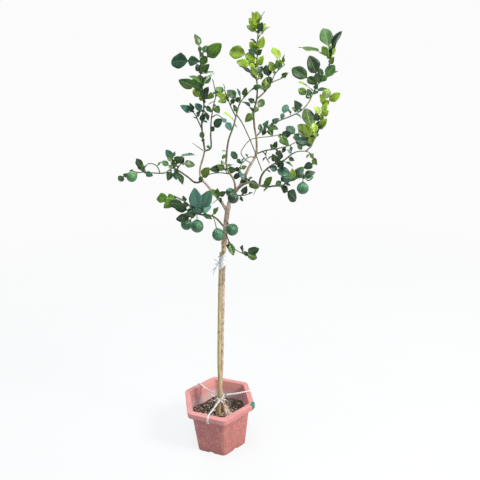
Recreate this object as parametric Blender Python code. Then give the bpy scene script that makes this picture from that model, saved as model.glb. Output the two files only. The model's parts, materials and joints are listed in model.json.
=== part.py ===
"""Potted kaffir lime tree: a grafted stem about 1.5 m tall, staked with a cane and tied to a hexagonal pot.

Units are metres, +Z up. The origin is the middle of the pot's base, on the surface that it stands on.
The front faces -Y, with +X to the right. The crown is laid out on a drawing sheet that shows the tree from
the front: a place on the sheet is (across, down) in sheet units, and each comes with a depth in mm behind
the middle of the pot. Radii, depths and all other sizes are real ones.
"""

import math
import random

import bmesh
import bpy
import numpy as np
from mathutils import Matrix, Vector

MM = 0.001

# The drawing sheet: its middle, its scale, and the eye that it is drawn from
SHEET_MIDDLE = 240
SHEET_SCALE = 450
EYE = Vector((0.094, -1.440, 1.195))
EYE_PITCH = math.radians(16.1)
EYE_ROLL = math.radians(-1.55)

# Pot: a tapered hexagon with a flat, thick lip
POT_HEIGHT = 0.176
POT_TURN = math.radians(9.8)
LIP_CIRCUMRADIUS = 0.140
LIP_UNDER_CIRCUMRADIUS = 0.138
LIP_HEIGHT = 0.020
LIP_FLAT_WIDTH = 0.021
BODY_TOP_CIRCUMRADIUS = 0.120
BASE_CIRCUMRADIUS = 0.100
WALL_THICKNESS = 0.0035
FLOOR_THICKNESS = 0.008
CORNER_ROUNDING = 0.009
LIP_EDGE_ROUNDING = 0.002
DRAIN_HOLE_RADIUS = 0.0045
DRAIN_RING_RADIUS = 0.058
DRAIN_GROOVE_RADIUS = 0.014
DRAIN_GROOVE_DEPTH = 0.0055
DRAIN_GROOVE_START = 0.045
CUT_PAST = 0.010

# Soil: surface well below the lip, mounded a little round the stem
SOIL_LEVEL = 0.106
SOIL_MOUND = 0.008
SOIL_ROUGHNESS = 0.0022
SOIL_CELLS = 4
GAP = 0.0003
SOIL_HOLE_GAP = 0.0006

# Cane that the stem is tied to, and the bindings
CANE_RADIUS = (0.0072, 0.0060)
CANE_ROUTE = [(-6, -12, 50), (-3, -12, 110), (4, -11, 180), (8, -10, 337), (13, -10, 452), (18, -10, 551),
              (22, -10, 625), (28, -12, 708), (31, -13, 742)]
CANE_NODES = (0.448, 0.625)
CANE_NODE_SWELL = 0.0010
CANE_NODE_LENGTH = 0.004
TAPE_RADIUS = 0.0014
BAND_GAP = 0.0010
TWINE_RADIUS = 0.0012

# Leaves: half width as a share of the length, at places along the midrib
WINGED_OUTLINE = [(0.0, 0.10), (0.25, 0.64), (0.37, 0.09), (0.66, 1.0), (1.0, 0.12)]
PLAIN_OUTLINE = [(0.0, 0.12), (0.36, 1.0), (0.76, 0.76), (1.0, 0.10)]
SMALL_OUTLINE = [(0.0, 0.14), (0.50, 1.0), (1.0, 0.14)]
SMALL_LENGTH = 0.043
WINGED_HALF_WIDTH = 0.23
PLAIN_HALF_WIDTH = 0.31
WINGED_LENGTH = 0.050
LEAF_THICKNESS = 0.0010
LEAF_GREEN = (0.035, 0.11, 0.03)
YOUNG_GREEN = (0.20, 0.30, 0.05)
SHOOT_TONES = {"leader_top": YOUNG_GREEN, "right_column": YOUNG_GREEN, "right_upper": (0.07, 0.16, 0.03)}
LEAF_SEED = 11
LEAF_SPACE = 0.0062
OWN_LEAF_SPACE = 0.0031

# How leaves are drawn: degrees of lean, roll by kind and bend, share of width, and the shrink of each retry
LEAF_LEAN = 38
LEAF_ROLL = {"W": (-18, 30), "w": (-20, 46), "N": (58, 78), "n": (58, 80)}
WINGED_CURL = (12, 55)
PLAIN_CURL = (5, 45)
LEAF_WIDTH_RANGE = (0.9, 1.1)
LEAF_DRAWS = 60
LEAF_SHRINK = 0.005
STEM_SPACE = 0.0045
FRUIT_SPACE = 0.0040
SPUR_LENGTH = 0.0035

STALK_RADIUS = 0.0014
THORN_RADIUS = 0.0016

# Plastic clip on the lip's corner
CLIP_ANGLE = -20.2
CLIP_WIDTH = 0.021
CLIP_REACH = 0.030
CLIP_THICKNESS = 0.0014
CLIP_DROP = 0.014

# Bindings: the knot at the foot, the graft tape, and the ties from the foot over the lip. A tie is its node
# name, its direction in the plan in degrees, where it starts in mm and how far it hangs in mm.
KNOT_LOW, KNOT_HIGH = 0.1755, 0.1835
KNOT_TURNS = 2.1
WRAP_LOW, WRAP_HIGH = 0.683, 0.735
WRAP_TURNS = 4.5
WRAP_TILT = 0.003
TIES = [
    ("tie_left", 132.0, (-9, 14, 181), 3),
    ("tie_right", 15.0, (27, 8, 181), 2),
    ("tie_front", -106.2, (2, -27, 181), 2),
]
TIE_STRANDS_APART = 0.0024
TIE_START_APART = 0.0040
TIE_LIFT = 0.0006
TIE_TURN_UNDER = 0.0015
TIE_HOOK = 0.004

# Stem: its foot in mm below the first sheet point of the trunk, its radii, and the swelling of the graft
STEM_FOOT = [(18, 4, 58), (17, 5, 112), (16, 7, 140)]
STEM_FOOT_RADII = [6.0, 8.8, 7.6]
GRAFT_HEIGHT = 0.772
GRAFT_LENGTH = 0.018
GRAFT_SWELL = 0.0018

# Wood: route name, radius at its start and end in mm, and its sheet points
LIMBS = [
    ("trunk", 7.2, 8, [
        (221.8, 398, 8), (221.6, 360, 8), (221.8, 331, 8), (222.4, 305, 8), (222.6, 285, 8),
        (223.3, 262, 4), (223.9, 247, 0), (225, 235, 0), (226.2, 220, 0), (228.3, 206, 0),
    ]),
    ("leader", 6.5, 2.6, [
        (228.3, 206, 0), (230.5, 199, 0), (241, 184, 10), (249, 167.5, 15), (255.5, 156, 20),
        (256.5, 140, 20), (254.4, 127, 16),
    ]),
    ("limb_left", 5, 2.6, [
        (226.5, 211, 0), (222, 203, 6), (214.4, 194, 20), (206.1, 184, 35), (200.6, 177, 45),
        (200, 172, 52), (204.2, 152.6, 72), (204.6, 149, 75),
    ]),
    ("limb_centre", 4, 2.6, [
        (229, 203, -2), (234.5, 192, -20), (235.2, 186, -30), (232.3, 177.2, -40), (228.8, 172.3, -45),
        (226, 163.5, -50),
    ]),
    ("limb_right", 4, 3, [
        (234.5, 193.5, 2), (240, 187, -10), (249, 182.5, -30), (259.2, 185.5, -60),
    ]),
]

# Shoots: node name, the node it grows from, radius at its start and end in mm, and its stems. A stem is
# its route and its leaves, each leaf the sheet points of its foot and its tip, and its kind.
SHOOTS = [
    ("leader_top", "trunk", 3.1, 1.3, [
        ([
            (254.4, 127, 16), (253.6, 113, 10), (256.5, 100, 5), (257.3, 86, 0), (255.8, 72, 0),
            (257.3, 54.7, -4), (257.6, 40, -6), (258.2, 28, -8),
        ], [
            (257.9, 26, 257.8, 8.2, "Wy"), (257.9, 27, 251.5, 13.5, "wy"), (258, 28, 246.5, 16, "wy"),
            (258, 33, 246.5, 25, "wy"), (258, 33, 262, 23, "wt"), (258, 29, 264.5, 12, "Ny"),
            (258, 34, 266, 21.5, "wy"), (257.8, 41, 269.5, 28, "Ny"), (257.5, 51, 263.5, 36.7, "wy"),
            (257.5, 46, 250, 39, "nt"), (257.3, 54, 250, 40.8, "wy"), (256.8, 59, 229.3, 49.5, "Wy"),
            (257, 54, 248, 50, "wt"), (257, 56, 262, 50, "wt"), (256, 68, 236.4, 62, "Wy"),
            (256.2, 66, 246, 57, "wy"), (256.5, 80, 239.5, 65, "Nt"), (256, 77, 251, 66, "wy"),
            (256.4, 67, 263, 56.5, "wy"), (256, 75, 262.8, 66, "wt"), (256.6, 80, 263, 73, "wg"),
            (253.7, 113, 241.5, 101.5, "Nt"), (253.7, 112, 245, 122, "wg"), (255.8, 103, 248, 98.8, "wt"),
            (253.8, 113, 264.5, 99.5, "wg"),
        ]),
        ([
            (256.7, 99, 5), (263.6, 93, 0), (271, 83, -6), (275, 74, -10), (284.9, 64.2, -18),
        ], [
            (281, 68, 272.5, 47.3, "Wy"), (275, 74, 270, 61, "wy"), (284.9, 64.5, 284.6, 54.3, "ny"),
            (270, 84, 266.3, 64.5, "Wt"), (264, 92, 268, 76.5, "wy"), (279, 70, 276, 60, "wg"),
            (267, 88, 258.5, 88, "wg"),
        ]),
        ([
            (271, 83, -6), (276, 80.5, -2), (280.3, 79, 0), (286, 74.5, 4),
        ], [
            (281, 78.5, 287, 72.5, "wg"), (282, 78, 289.6, 72, "ng"),
        ]),
    ]),
    ("centre_left", "trunk", 3, 1.4, [
        ([
            (226, 163.5, -50), (227, 150, -50), (228.6, 140, -48), (233.7, 125.6, -44),
            (236.2, 115.4, -40), (240.8, 101.6, -35), (246.4, 95, -32), (254.6, 86.5, -30),
        ], [
            (226.5, 154, 222, 159, "wg"), (226.8, 152, 222, 151, "ng"), (240, 103, 227.3, 90, "Wt"),
            (239, 105, 236.7, 89, "nt"), (236.6, 113, 233.3, 104.5, "wt"), (234.5, 122, 223.7, 113, "Ny"),
            (234, 124, 237, 127.5, "nt"), (244, 97.5, 246, 87.5, "wg"), (252, 89, 261, 85.5, "wg"),
        ]),
        ([
            (235.9, 117, -40), (231, 107, -34), (227.5, 98, -30), (224.5, 90, -28),
        ], [
            (226.5, 97, 216.5, 94, "wy"), (227.3, 99, 218, 102, "wg"), (228.5, 102, 221.5, 93, "wy"),
            (225, 91, 214, 89, "wg"), (230, 105, 234.5, 98, "wg"), (224.7, 90.5, 223.3, 84, "ng"),
        ]),
        ([
            (236.4, 114.4, -40), (241, 121, -34), (247.6, 134.3, -24), (252.6, 145.9, -12),
            (256.9, 157.5, -4), (261.9, 170.8, 0),
        ], []),
    ]),
    ("left_column", "trunk", 3, 1.4, [
        ([
            (204.6, 149, 75), (203.4, 141, 78), (202, 130, 82), (202, 118, 84), (203.8, 108, 84),
            (203.3, 95, 80), (202, 85, 76), (200.6, 73, 72), (200.3, 61, 68), (199.8, 53, 66),
        ], [
            (199.8, 53, 194.8, 34, "wg"), (200.1, 57, 208, 45.5, "Wg"), (200.3, 61.5, 168.8, 60, "Wt"),
            (200.4, 64, 222, 45.3, "Wg"), (200.6, 73, 210, 65, "wg"), (200.8, 74, 196, 63.3, "wt"),
            (200.6, 72, 203.5, 62.5, "wg"), (202.2, 88, 215.4, 74, "Ny"), (202, 86, 210.6, 76.3, "wg"),
            (202.2, 87, 190.4, 79.8, "wg"), (202.4, 89, 180.4, 81, "Wg"), (201.9, 84, 190, 77, "ng"),
            (202.2, 87, 199.8, 101, "wt"), (203.2, 95, 209, 87, "wg"), (203.8, 104, 207.5, 91.5, "Wt"),
            (203.7, 101, 192.8, 89.5, "Wy"), (202.5, 88, 198, 74, "wt"), (203.8, 106, 211.8, 112, "wg"),
            (203.2, 112, 194.8, 103.5, "wt"), (202, 124, 203, 113.5, "wt"),
            (202, 121, 208.7, 122.8, "nt"), (203.5, 110, 208.3, 121, "nt"),
            (203.7, 143, 201.3, 132, "Wg"), (200.7, 74, 213.5, 71.3, "nt"),
        ]),
        ([
            (201.9, 129, 82), (198.2, 121, 88), (194.8, 114, 94), (191.8, 110.8, 98),
        ], [
            (192.2, 111, 181, 105.5, "wt"), (194, 113, 190, 103, "wt"), (193, 112, 185.5, 113, "nt"),
            (196.5, 117.5, 201.5, 110.5, "wt"), (197.5, 119.5, 192.2, 117, "nt"),
        ]),
    ]),
    ("left_inner", "trunk", 2.8, 1.3, [
        ([
            (204.6, 151, 73), (209.6, 149.4, 63), (210.7, 135, 60), (211, 123.6, 60), (211.6, 117, 58),
            (213.3, 106, 54), (215.6, 96, 50), (214, 85, 48), (212.6, 79, 46),
        ], [
            (211, 131.5, 222.5, 118.6, "wt"), (213.6, 104, 219.3, 113.5, "wg"),
            (215.4, 97, 222.5, 87, "wt"), (215, 92, 207, 99, "wg"), (213.4, 80, 216, 72, "ny"),
            (214.2, 101, 208.5, 104.5, "ng"),
        ]),
        ([
            (211.6, 117.5, 58), (216.8, 114.8, 50), (223, 118.3, 44),
        ], [
            (222.6, 118, 232, 130.5, "Wt"),
        ]),
    ]),
    ("left_reach", "trunk", 3.1, 1.4, [
        ([
            (203.6, 181, 39), (196.5, 182.6, 28), (187.5, 176.7, 6), (178.9, 171, -16), (173, 168, -32),
            (165, 172.8, -50), (157, 173.2, -66), (150, 172.6, -78), (143.9, 172, -88), (139, 172.5, -90),
            (133, 171.6, -72), (127, 173.6, -68),
        ], [
            (127, 173.6, 116.6, 181.3, "Wg"), (129, 173, 134, 169.6, "ng"),
            (199.5, 182.3, 210.2, 166, "Wy"), (144, 171.5, 137.5, 158, "Wt"),
            (144.5, 172, 136, 163, "wg"), (144, 172, 152.8, 176, "wt"), (146, 172.3, 131.8, 160.5, "Nt"),
            (171, 169, 168, 180.5, "wt"), (174.5, 168.8, 176, 180.5, "wt"),
            (176, 169.5, 183.7, 183, "nt"), (172.5, 168.3, 161.8, 161.5, "Wg"),
        ]),
        ([
            (174.5, 168.5, -28), (173.2, 163, -34), (172.4, 157.5, -38),
        ], [
            (172.4, 158, 166, 149.5, "wt"), (172.5, 158, 175, 150.5, "wt"),
            (173, 161, 184.3, 156.8, "wg"), (173, 162, 194.2, 156.5, "Nt"),
            (173.2, 163, 166.5, 156.5, "wg"),
        ]),
        ([
            (177, 170, -22), (179, 166, -30), (181.5, 163, -34),
        ], [
            (181, 163.5, 194.5, 166, "wg"), (180.5, 164, 184.5, 157, "wt"), (178.5, 167, 171, 162, "wg"),
        ]),
        ([
            (160, 173, -60), (157.5, 167, -70), (153.6, 164, -78), (147.9, 163.6, -86),
        ], [
            (148.5, 163.6, 144.6, 168.5, "nt"), (157, 166.5, 163, 161.5, "ng"),
        ]),
    ]),
    ("lower_rosette", "trunk", 3.1, 2.3, [
        ([
            (224.2, 227, -2), (217.5, 219.5, -26), (212, 216, -48), (204.5, 215.3, -74),
            (196, 213.5, -100),
        ], [
            (197, 213, 196.3, 184.3, "Wt"), (198, 213, 211, 188.3, "Wt"), (198.5, 213.5, 211, 207, "wt"),
            (196.5, 214, 173.2, 206.5, "Wt"), (196.5, 214.5, 177, 217.5, "Wt"),
            (199, 214, 212.3, 219.5, "nt"), (196, 214, 189, 205.5, "wt"), (197, 213.5, 202.8, 204, "wt"),
            (196, 213.6, 185, 212, "wt"), (212, 216, 218.7, 207, "ng"),
        ]),
        ([
            (197, 213.2, -98), (190, 206, -108), (183, 200.5, -116), (174, 196, -124),
        ], [
            (189, 205.5, 170, 200.5, "wt"), (175, 196.5, 154.8, 201, "Wg"), (176, 197, 164, 207.8, "wg"),
            (186, 203, 183, 195.5, "wg"),
        ]),
    ]),
    ("low_twig", "trunk", 1.9, 1.3, [
        ([
            (225.6, 232, -2), (229, 241.5, -26), (233.5, 248, -40), (244.3, 254.4, -58),
        ], [
            (243.5, 254, 258.5, 244.6, "wt"), (243.8, 254, 257.4, 260.6, "wg"),
            (243, 253.5, 242.8, 242.6, "nt"), (229.5, 242.5, 233.5, 254, "wg"),
            (228.5, 241, 230, 250.5, "wt"),
        ]),
    ]),
    ("inner_twig", "trunk", 1.7, 1.3, [
        ([
            (230, 174, -43), (221, 172.8, -22), (213, 173.4, 0), (205.5, 175.8, 22),
        ], []),
        ([
            (227.5, 173.3, -38), (224.5, 169, -36), (223, 167, -34),
        ], [
            (223.5, 167.5, 209.8, 168, "wt"), (224.5, 168.8, 236.5, 171, "wt"),
            (224, 168, 234.5, 165.5, "nt"), (223.2, 167.2, 221, 160.5, "wg"),
            (225, 169.7, 216, 163.5, "wg"),
        ]),
    ]),
    ("centre_twig", "trunk", 1.7, 1.3, [
        ([
            (255, 157, 20), (249.5, 157, 6), (245, 160.5, -4), (241.2, 164.5, -12), (240, 172, -18),
        ], [
            (248.4, 157.9, 245, 153.6, "ng"), (241.3, 164, 231.3, 152.3, "Wt"),
            (240.7, 167, 234.2, 171.5, "wt"), (240.2, 171, 243.8, 180, "wt"),
            (240.2, 171, 234, 180, "wt"), (241, 165.5, 244.5, 157.5, "nt"), (240.5, 169, 247, 166, "wg"),
        ]),
    ]),
    ("arc_twig", "trunk", 1.4, 1.2, [
        ([
            (251, 163.5, 16), (244, 158, -22), (241, 153, -26), (244.5, 146, -26), (250, 140, -22),
            (259.2, 137.6, -14), (269, 136.6, -20), (279, 135, -26),
        ], [
            (278.5, 135, 288, 145.3, "wg"), (278.8, 135, 291.8, 134, "wt"), (272, 136, 268, 130, "ng"),
        ]),
    ]),
    ("right_upper", "trunk", 2.4, 1.3, [
        ([
            (256, 136.5, 19), (262, 130.5, 30), (272, 124, 46), (282, 119.5, 60), (292, 115.6, 72),
            (302, 110, 80), (309.5, 101, 86), (314, 91, 90), (319, 83.5, 92), (327, 77.5, 94),
        ], [
            (260, 132.5, 260.3, 124, "wt"), (271, 124.8, 279.5, 118.5, "wt"),
            (267, 127.5, 277.8, 129, "wg"), (266, 128, 262.5, 135.5, "wt"), (268, 127, 272.5, 136, "wg"),
            (264, 129.5, 268.5, 120.5, "wt"), (281, 120, 288, 104.5, "Wt"),
            (291, 116, 286.5, 106.5, "nt"), (301, 110.5, 293, 100.5, "wt"),
            (299, 112, 291.5, 107.5, "wg"), (295, 114.5, 303, 118.5, "nt"),
            (310.5, 99, 299.2, 88.5, "Wg"), (313.5, 92, 296.3, 83.3, "Ny"),
            (311, 97.5, 308.2, 86.5, "wt"), (314, 90.5, 317.3, 83.8, "wt"), (312, 96, 305, 96, "wt"),
            (318, 85, 294.3, 66.5, "Wg"), (319, 83.5, 308, 56.5, "Wt"), (319.5, 83, 321, 67.5, "Wt"),
            (321, 82, 334, 65.5, "Wg"), (325.5, 78.5, 340.2, 70.3, "ng"), (312.5, 95, 329.2, 87.8, "Nt"),
        ]),
        ([
            (322, 81.2, 92), (326, 72.5, 88), (329, 65, 84), (330.8, 57.5, 82),
        ], [
            (330.5, 58, 325.3, 26.5, "Wg"), (330.7, 58, 334, 42.8, "wy"), (330.6, 58, 338.3, 34, "Nt"),
            (330.6, 58, 301, 45, "Ny"), (328.8, 66, 333.2, 57, "wy"), (330.4, 59.5, 319.5, 45, "wg"),
        ]),
    ]),
    ("right_middle", "trunk", 2.4, 1.3, [
        ([
            (255.6, 154, 20), (265.3, 150.6, 40), (274.5, 149, 56), (288.8, 145.5, 76), (294.4, 143, 84),
            (299, 140.4, 90), (305.5, 138, 96),
        ], [
            (274.5, 149, 276.8, 141, "wg"), (273.5, 149, 269.8, 143.5, "wt"),
            (276, 149, 281.5, 156.5, "wt"), (286, 146.3, 282.5, 153, "wt"), (290, 145, 291, 152.5, "wt"),
            (296, 142.3, 303, 150, "wt"), (300, 140, 287.8, 126.8, "Wt"),
            (302.5, 139.3, 301, 126.5, "wg"), (304.8, 138.3, 310.4, 147, "wt"),
            (304, 138.6, 308.5, 130, "wt"), (305, 138.3, 316.2, 138, "wt"), (298, 141, 292, 136.5, "wg"),
        ]),
        ([
            (266.8, 150.4, 42), (265.8, 155.7, 30), (267.9, 160.8, 18), (269.5, 163, 10),
        ], [
            (266, 156, 262, 151.5, "nt"), (267.5, 160, 272, 156, "nt"), (266.3, 157, 262.8, 161.5, "nt"),
        ]),
    ]),
    ("right_lower", "trunk", 3.4, 1.4, [
        ([
            (259.2, 185.5, -60), (261, 177, -66), (263.5, 172.5, -70), (269.9, 166.6, -78),
            (276, 163, -84), (283.6, 160.5, -92), (289.4, 156, -96), (296, 152, -100), (305.6, 151, -100),
        ], [
            (269, 167.2, 290, 174.2, "Wt"), (277, 162.7, 272, 153.5, "wt"),
            (279, 162, 279.5, 150.5, "wt"), (275, 163.5, 284, 166, "wt"), (283, 160.7, 292, 166.2, "ng"),
            (280, 161.6, 272.5, 160, "wg"), (266, 170, 271.5, 173.5, "nt"), (288, 157, 294, 160.5, "wt"),
            (292, 154.3, 287, 149.5, "wt"), (284, 160.3, 279.5, 168, "wt"),
        ]),
        ([
            (304.5, 151, -100), (309, 152.3, -102), (313, 157.5, -104), (315, 163, -106),
        ], [
            (309.5, 152.8, 314, 158.5, "wy"), (312.5, 157, 316.2, 164.5, "wy"),
            (314.8, 162.5, 304.3, 168.8, "wg"), (310, 153.3, 306, 158, "ng"),
        ]),
    ]),
    ("right_column", "right_lower", 2.2, 1.3, [
        ([
            (306, 151, -100), (311, 146.3, -92), (313, 142, -84), (316.3, 136, -70), (318.4, 128.7, -55),
            (321.4, 119.5, -38), (322, 112, -26), (323, 103, -14),
        ], [
            (314.5, 139.5, 314.8, 123.3, "Wy"), (312, 144.5, 303.5, 124, "Wy"),
            (314, 140, 308.7, 108.5, "Wg"), (317, 133.5, 321.8, 121, "wt"), (313, 142, 306.5, 131, "wt"),
            (315.5, 137.5, 320, 133, "wt"), (322, 115, 313, 106.5, "wy"), (322, 113, 327.2, 102.5, "wy"),
            (321, 121.5, 320.5, 112.5, "wy"), (319.5, 125, 313.5, 112.5, "Wt"),
            (322.6, 106, 329.7, 88.3, "Wy"), (322.8, 105, 338.7, 93.3, "Wy"),
            (322.9, 104, 318.4, 94.3, "wy"), (318, 130, 324.5, 126, "wg"), (318.8, 128, 326, 117, "wy"),
            (312.5, 143.5, 296, 140, "wt"), (321.8, 117, 328.5, 110, "wy"),
            (316, 137, 295.3, 122.5, "Wy"), (322.9, 104, 323.5, 94, "wy"),
        ]),
    ]),
    ("low_right", "trunk", 2.9, 1.7, [
        ([
            (259.2, 185.5, -60), (266, 186.8, -74), (274, 186, -88), (281.3, 185.6, -100),
            (290, 181, -112), (298, 178, -120), (303, 177.5, -124),
        ], [
            (262, 186.5, 271.5, 182, "wg"), (264.5, 186.7, 271.8, 176, "wg"),
            (275, 185.8, 291.3, 175.5, "Wt"), (289, 181.5, 306.2, 176, "wt"),
            (302.5, 177.5, 314.8, 171.5, "wt"), (302.8, 177.5, 314.5, 178, "wt"),
            (294, 179.5, 304.3, 167.3, "wt"), (292, 180.2, 291.6, 167.6, "wy"),
            (280, 185.7, 297.6, 202.8, "Wt"), (284, 184.3, 291, 185.8, "nt"),
            (270, 186.5, 263.5, 191, "nt"), (284.5, 184, 289, 176.5, "wt"),
            (296, 178.7, 288, 173.5, "nt"),
        ]),
    ]),
    ("fork_sprig", "trunk", 1.6, 1.3, [
        ([
            (219.2, 199.5, 13), (217.5, 197.8, -4), (217.8, 196, -12),
        ], [
            (217.7, 197, 212, 189.5, "wg"), (217.8, 196.5, 225.8, 191.8, "wt"),
            (217.8, 196.8, 221.5, 203, "wt"), (217.6, 196, 217.8, 187.5, "wg"),
        ]),
    ]),
    ("right_fork_sprig", "trunk", 1.9, 1.4, [
        ([
            (231.8, 197.8, 1), (237, 195.6, -14), (242.5, 195.4, -28), (248, 194.6, -38),
        ], [
            (242, 195.4, 246.8, 185.6, "wt"), (247.5, 194.7, 253, 192.5, "nt"),
            (240, 195.6, 243, 201, "wt"),
        ]),
    ]),
    ("fork_leaves", "trunk", 1.8, 1.4, [
        ([
            (245.8, 175, 12), (246.5, 178, -4), (248, 180, -12),
        ], [
            (247.5, 179.5, 252.5, 177, "ng"), (247.8, 180, 259, 187.8, "wg"),
            (246.6, 178.4, 240, 182.5, "wt"), (247, 179, 243.5, 185, "wt"),
        ]),
    ]),
]

# Roots that show above the soil: from the stem's foot outwards and down, in mm
SURFACE_ROOTS = [
    [(17, 4, 138), (33, -6, 120), (46, -12, 108), (54, -15, 92)],
    [(17, 4, 134), (25, -12, 118), (30, -26, 107), (32, -34, 92)],
    [(17, 4, 132), (28, 20, 117), (36, 33, 106), (41, 40, 92)],
    [(17, 4, 130), (3, 18, 116), (-8, 28, 106), (-14, 34, 92)],
]
SURFACE_ROOT_RADIUS = (0.0058, 0.0030)

# Thorns on the wood: the sheet points of foot and tip
THORNS = [
    [(218.4, 198.5, 13), (212, 204, 16)],
    [(257.6, 185.9, -55), (253.3, 195, -65)],
    [(203, 150.5, 74), (192.3, 143, 90)],
]

# Fruits: node name, the node that bears it, the sheet points of its middle and its stalk's foot, and its
# radius in mm
FRUITS = [
    ("fruit_left_tip", "left_reach", (131.7, 176.8, -96), (139, 172.5, -90), 16),
    ("fruit_rosette_left", "lower_rosette", (186.6, 224.5, -86), (196.5, 213.6, -97), 18),
    ("fruit_rosette_right", "lower_rosette", (197.2, 226.3, -124), (197, 213.5, -98), 20),
    ("fruit_stem_left", "lower_rosette", (218.3, 234.7, -52), (213, 216.6, -44), 20.5),
    ("fruit_stem_right", "trunk", (232.3, 229.7, -30), (226, 221, -2), 20),
    ("fruit_fork_front", "trunk", (233.2, 198, -46), (235, 189, -26), 18),
    ("fruit_fork_back", "trunk", (230, 192.2, 25), (238.6, 187.6, 8), 15),
    ("fruit_right", "low_right", (302.7, 188.3, -128), (303, 177.5, -124), 18),
    ("fruitlet", "left_inner", (208.2, 146.6, 48), (209.6, 149.2, 63), 5.5),
]
FRUIT_GREEN = (0.10, 0.20, 0.04)
FRUIT_TONES = {"fruit_fork_front": (0.03, 0.09, 0.02), "fruit_left_tip": (0.17, 0.28, 0.05)}


def principled(name, colour, roughness):
    """A plain surface in the part's own colour."""
    material = bpy.data.materials.new(name)
    material.use_nodes = True
    shader = material.node_tree.nodes["Principled BSDF"]
    shader.inputs["Base Color"].default_value = (*colour, 1)
    shader.inputs["Roughness"].default_value = roughness
    shader.inputs["Metallic"].default_value = 0
    material.diffuse_color = (*colour, 1)
    return material


def mesh_object(name, mesh, collection, material=None):
    obj = bpy.data.objects.new(name, mesh)
    collection.objects.link(obj)
    if material:
        mesh.materials.clear()
        mesh.materials.append(material)
    return obj


def millimetres(points):
    return [Vector(p) * MM for p in points]


def placed(across, down, depth):
    """The point that shows at a place on the sheet, at a depth in mm."""
    a, b = across - SHEET_MIDDLE, down - SHEET_MIDDLE
    cosine, sine = math.cos(EYE_ROLL), math.sin(EYE_ROLL)
    right, up = (a * cosine + b * sine) / SHEET_SCALE, (a * sine - b * cosine) / SHEET_SCALE
    ahead = math.cos(EYE_PITCH) + up * math.sin(EYE_PITCH)
    rise = up * math.cos(EYE_PITCH) - math.sin(EYE_PITCH)
    reach = (depth * MM - EYE.y) / ahead
    return Vector((EYE.x + right * reach, depth * MM, EYE.z + rise * reach))


def sheet(point):
    """The place on the sheet where a point shows."""
    away = point - EYE
    ahead = away.y * math.cos(EYE_PITCH) - away.z * math.sin(EYE_PITCH)
    up = (away.y * math.sin(EYE_PITCH) + away.z * math.cos(EYE_PITCH)) / ahead * SHEET_SCALE
    right = away.x / ahead * SHEET_SCALE
    cosine, sine = math.cos(EYE_ROLL), math.sin(EYE_ROLL)
    return Vector((SHEET_MIDDLE + right * cosine + up * sine, SHEET_MIDDLE + right * sine - up * cosine))


def tube(name, points, radii, collection, resolution=1):
    """A tapered round stem: a poly curve with filled caps, made a mesh with its caps welded."""
    curve = bpy.data.curves.new(name, "CURVE")
    curve.dimensions = "3D"
    curve.bevel_depth = 1.0
    curve.bevel_resolution = resolution
    curve.use_fill_caps = True
    spline = curve.splines.new("POLY")
    spline.points.add(len(points) - 1)
    for point, place, radius in zip(spline.points, points, radii):
        point.co = (*place, 1)
        point.radius = radius
    obj = bpy.data.objects.new(name + "_curve", curve)
    collection.objects.link(obj)
    graph = bpy.context.evaluated_depsgraph_get()
    mesh = bpy.data.meshes.new_from_object(obj.evaluated_get(graph))
    bpy.data.objects.remove(obj)
    bm = bmesh.new()
    bm.from_mesh(mesh)
    bmesh.ops.remove_doubles(bm, verts=bm.verts, dist=1e-6)
    bmesh.ops.recalc_face_normals(bm, faces=bm.faces)
    bm.to_mesh(mesh)
    bm.free()
    return mesh_object(name, mesh, collection)


def lengths_along(points):
    steps = [0.0]
    for a, b in zip(points, points[1:]):
        steps.append(steps[-1] + (b - a).length)
    return steps


def tapered(points, start, end):
    """Radii that fall evenly with the length along a route."""
    steps = lengths_along(points)
    return [start + (end - start) * s / steps[-1] for s in steps]


def nearest_on_sheet(points, mark):
    """The point of a route that shows nearest to a mark on the sheet, kept a little off the route's end."""
    best = (1e9, None)
    for a, b in zip(points, points[1:]):
        start, step = sheet(a), sheet(b) - sheet(a)
        t = max(0.0, min(1.0, (mark - start).dot(step) / step.length_squared))
        if b is points[-1]:
            t = min(t, 1 - 0.0025 / (b - a).length)
        miss = (mark - start - step * t).length
        if miss < best[0]:
            best = (miss, a.lerp(b, t))
    return best[1]


def boolean(target, operand, operation, solver="EXACT"):
    modifier = target.modifiers.new(operation.lower(), "BOOLEAN")
    modifier.operation = operation
    modifier.solver = solver
    if isinstance(operand, bpy.types.Collection):
        modifier.operand_type = "COLLECTION"
        modifier.collection = operand
    else:
        modifier.object = operand


def applied(obj):
    """Applies an object's modifiers, and keeps only the largest of the bodies in the result."""
    graph = bpy.context.evaluated_depsgraph_get()
    mesh = bpy.data.meshes.new_from_object(obj.evaluated_get(graph))
    obj.modifiers.clear()
    obj.data = mesh
    bm = bmesh.new()
    bm.from_mesh(mesh)
    bmesh.ops.remove_doubles(bm, verts=bm.verts, dist=2e-6)
    bmesh.ops.dissolve_degenerate(bm, edges=bm.edges, dist=2e-6)
    bmesh.ops.triangulate(bm, faces=bm.faces)
    keep_largest_body(bm)
    bm.to_mesh(mesh)
    bm.free()


def keep_largest_body(bm):
    unseen = set(bm.verts)
    bodies = []
    while unseen:
        stack = [unseen.pop()]
        body = list(stack)
        while stack:
            for edge in stack.pop().link_edges:
                for vert in edge.verts:
                    if vert in unseen:
                        unseen.remove(vert)
                        stack.append(vert)
                        body.append(vert)
        bodies.append(body)
    bodies.sort(key=len)
    for body in bodies[:-1]:
        bmesh.ops.delete(bm, geom=body, context="VERTS")


def is_closed(mesh):
    bm = bmesh.new()
    bm.from_mesh(mesh)
    closed = all(edge.is_manifold for edge in bm.edges)
    bm.free()
    return closed


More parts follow.
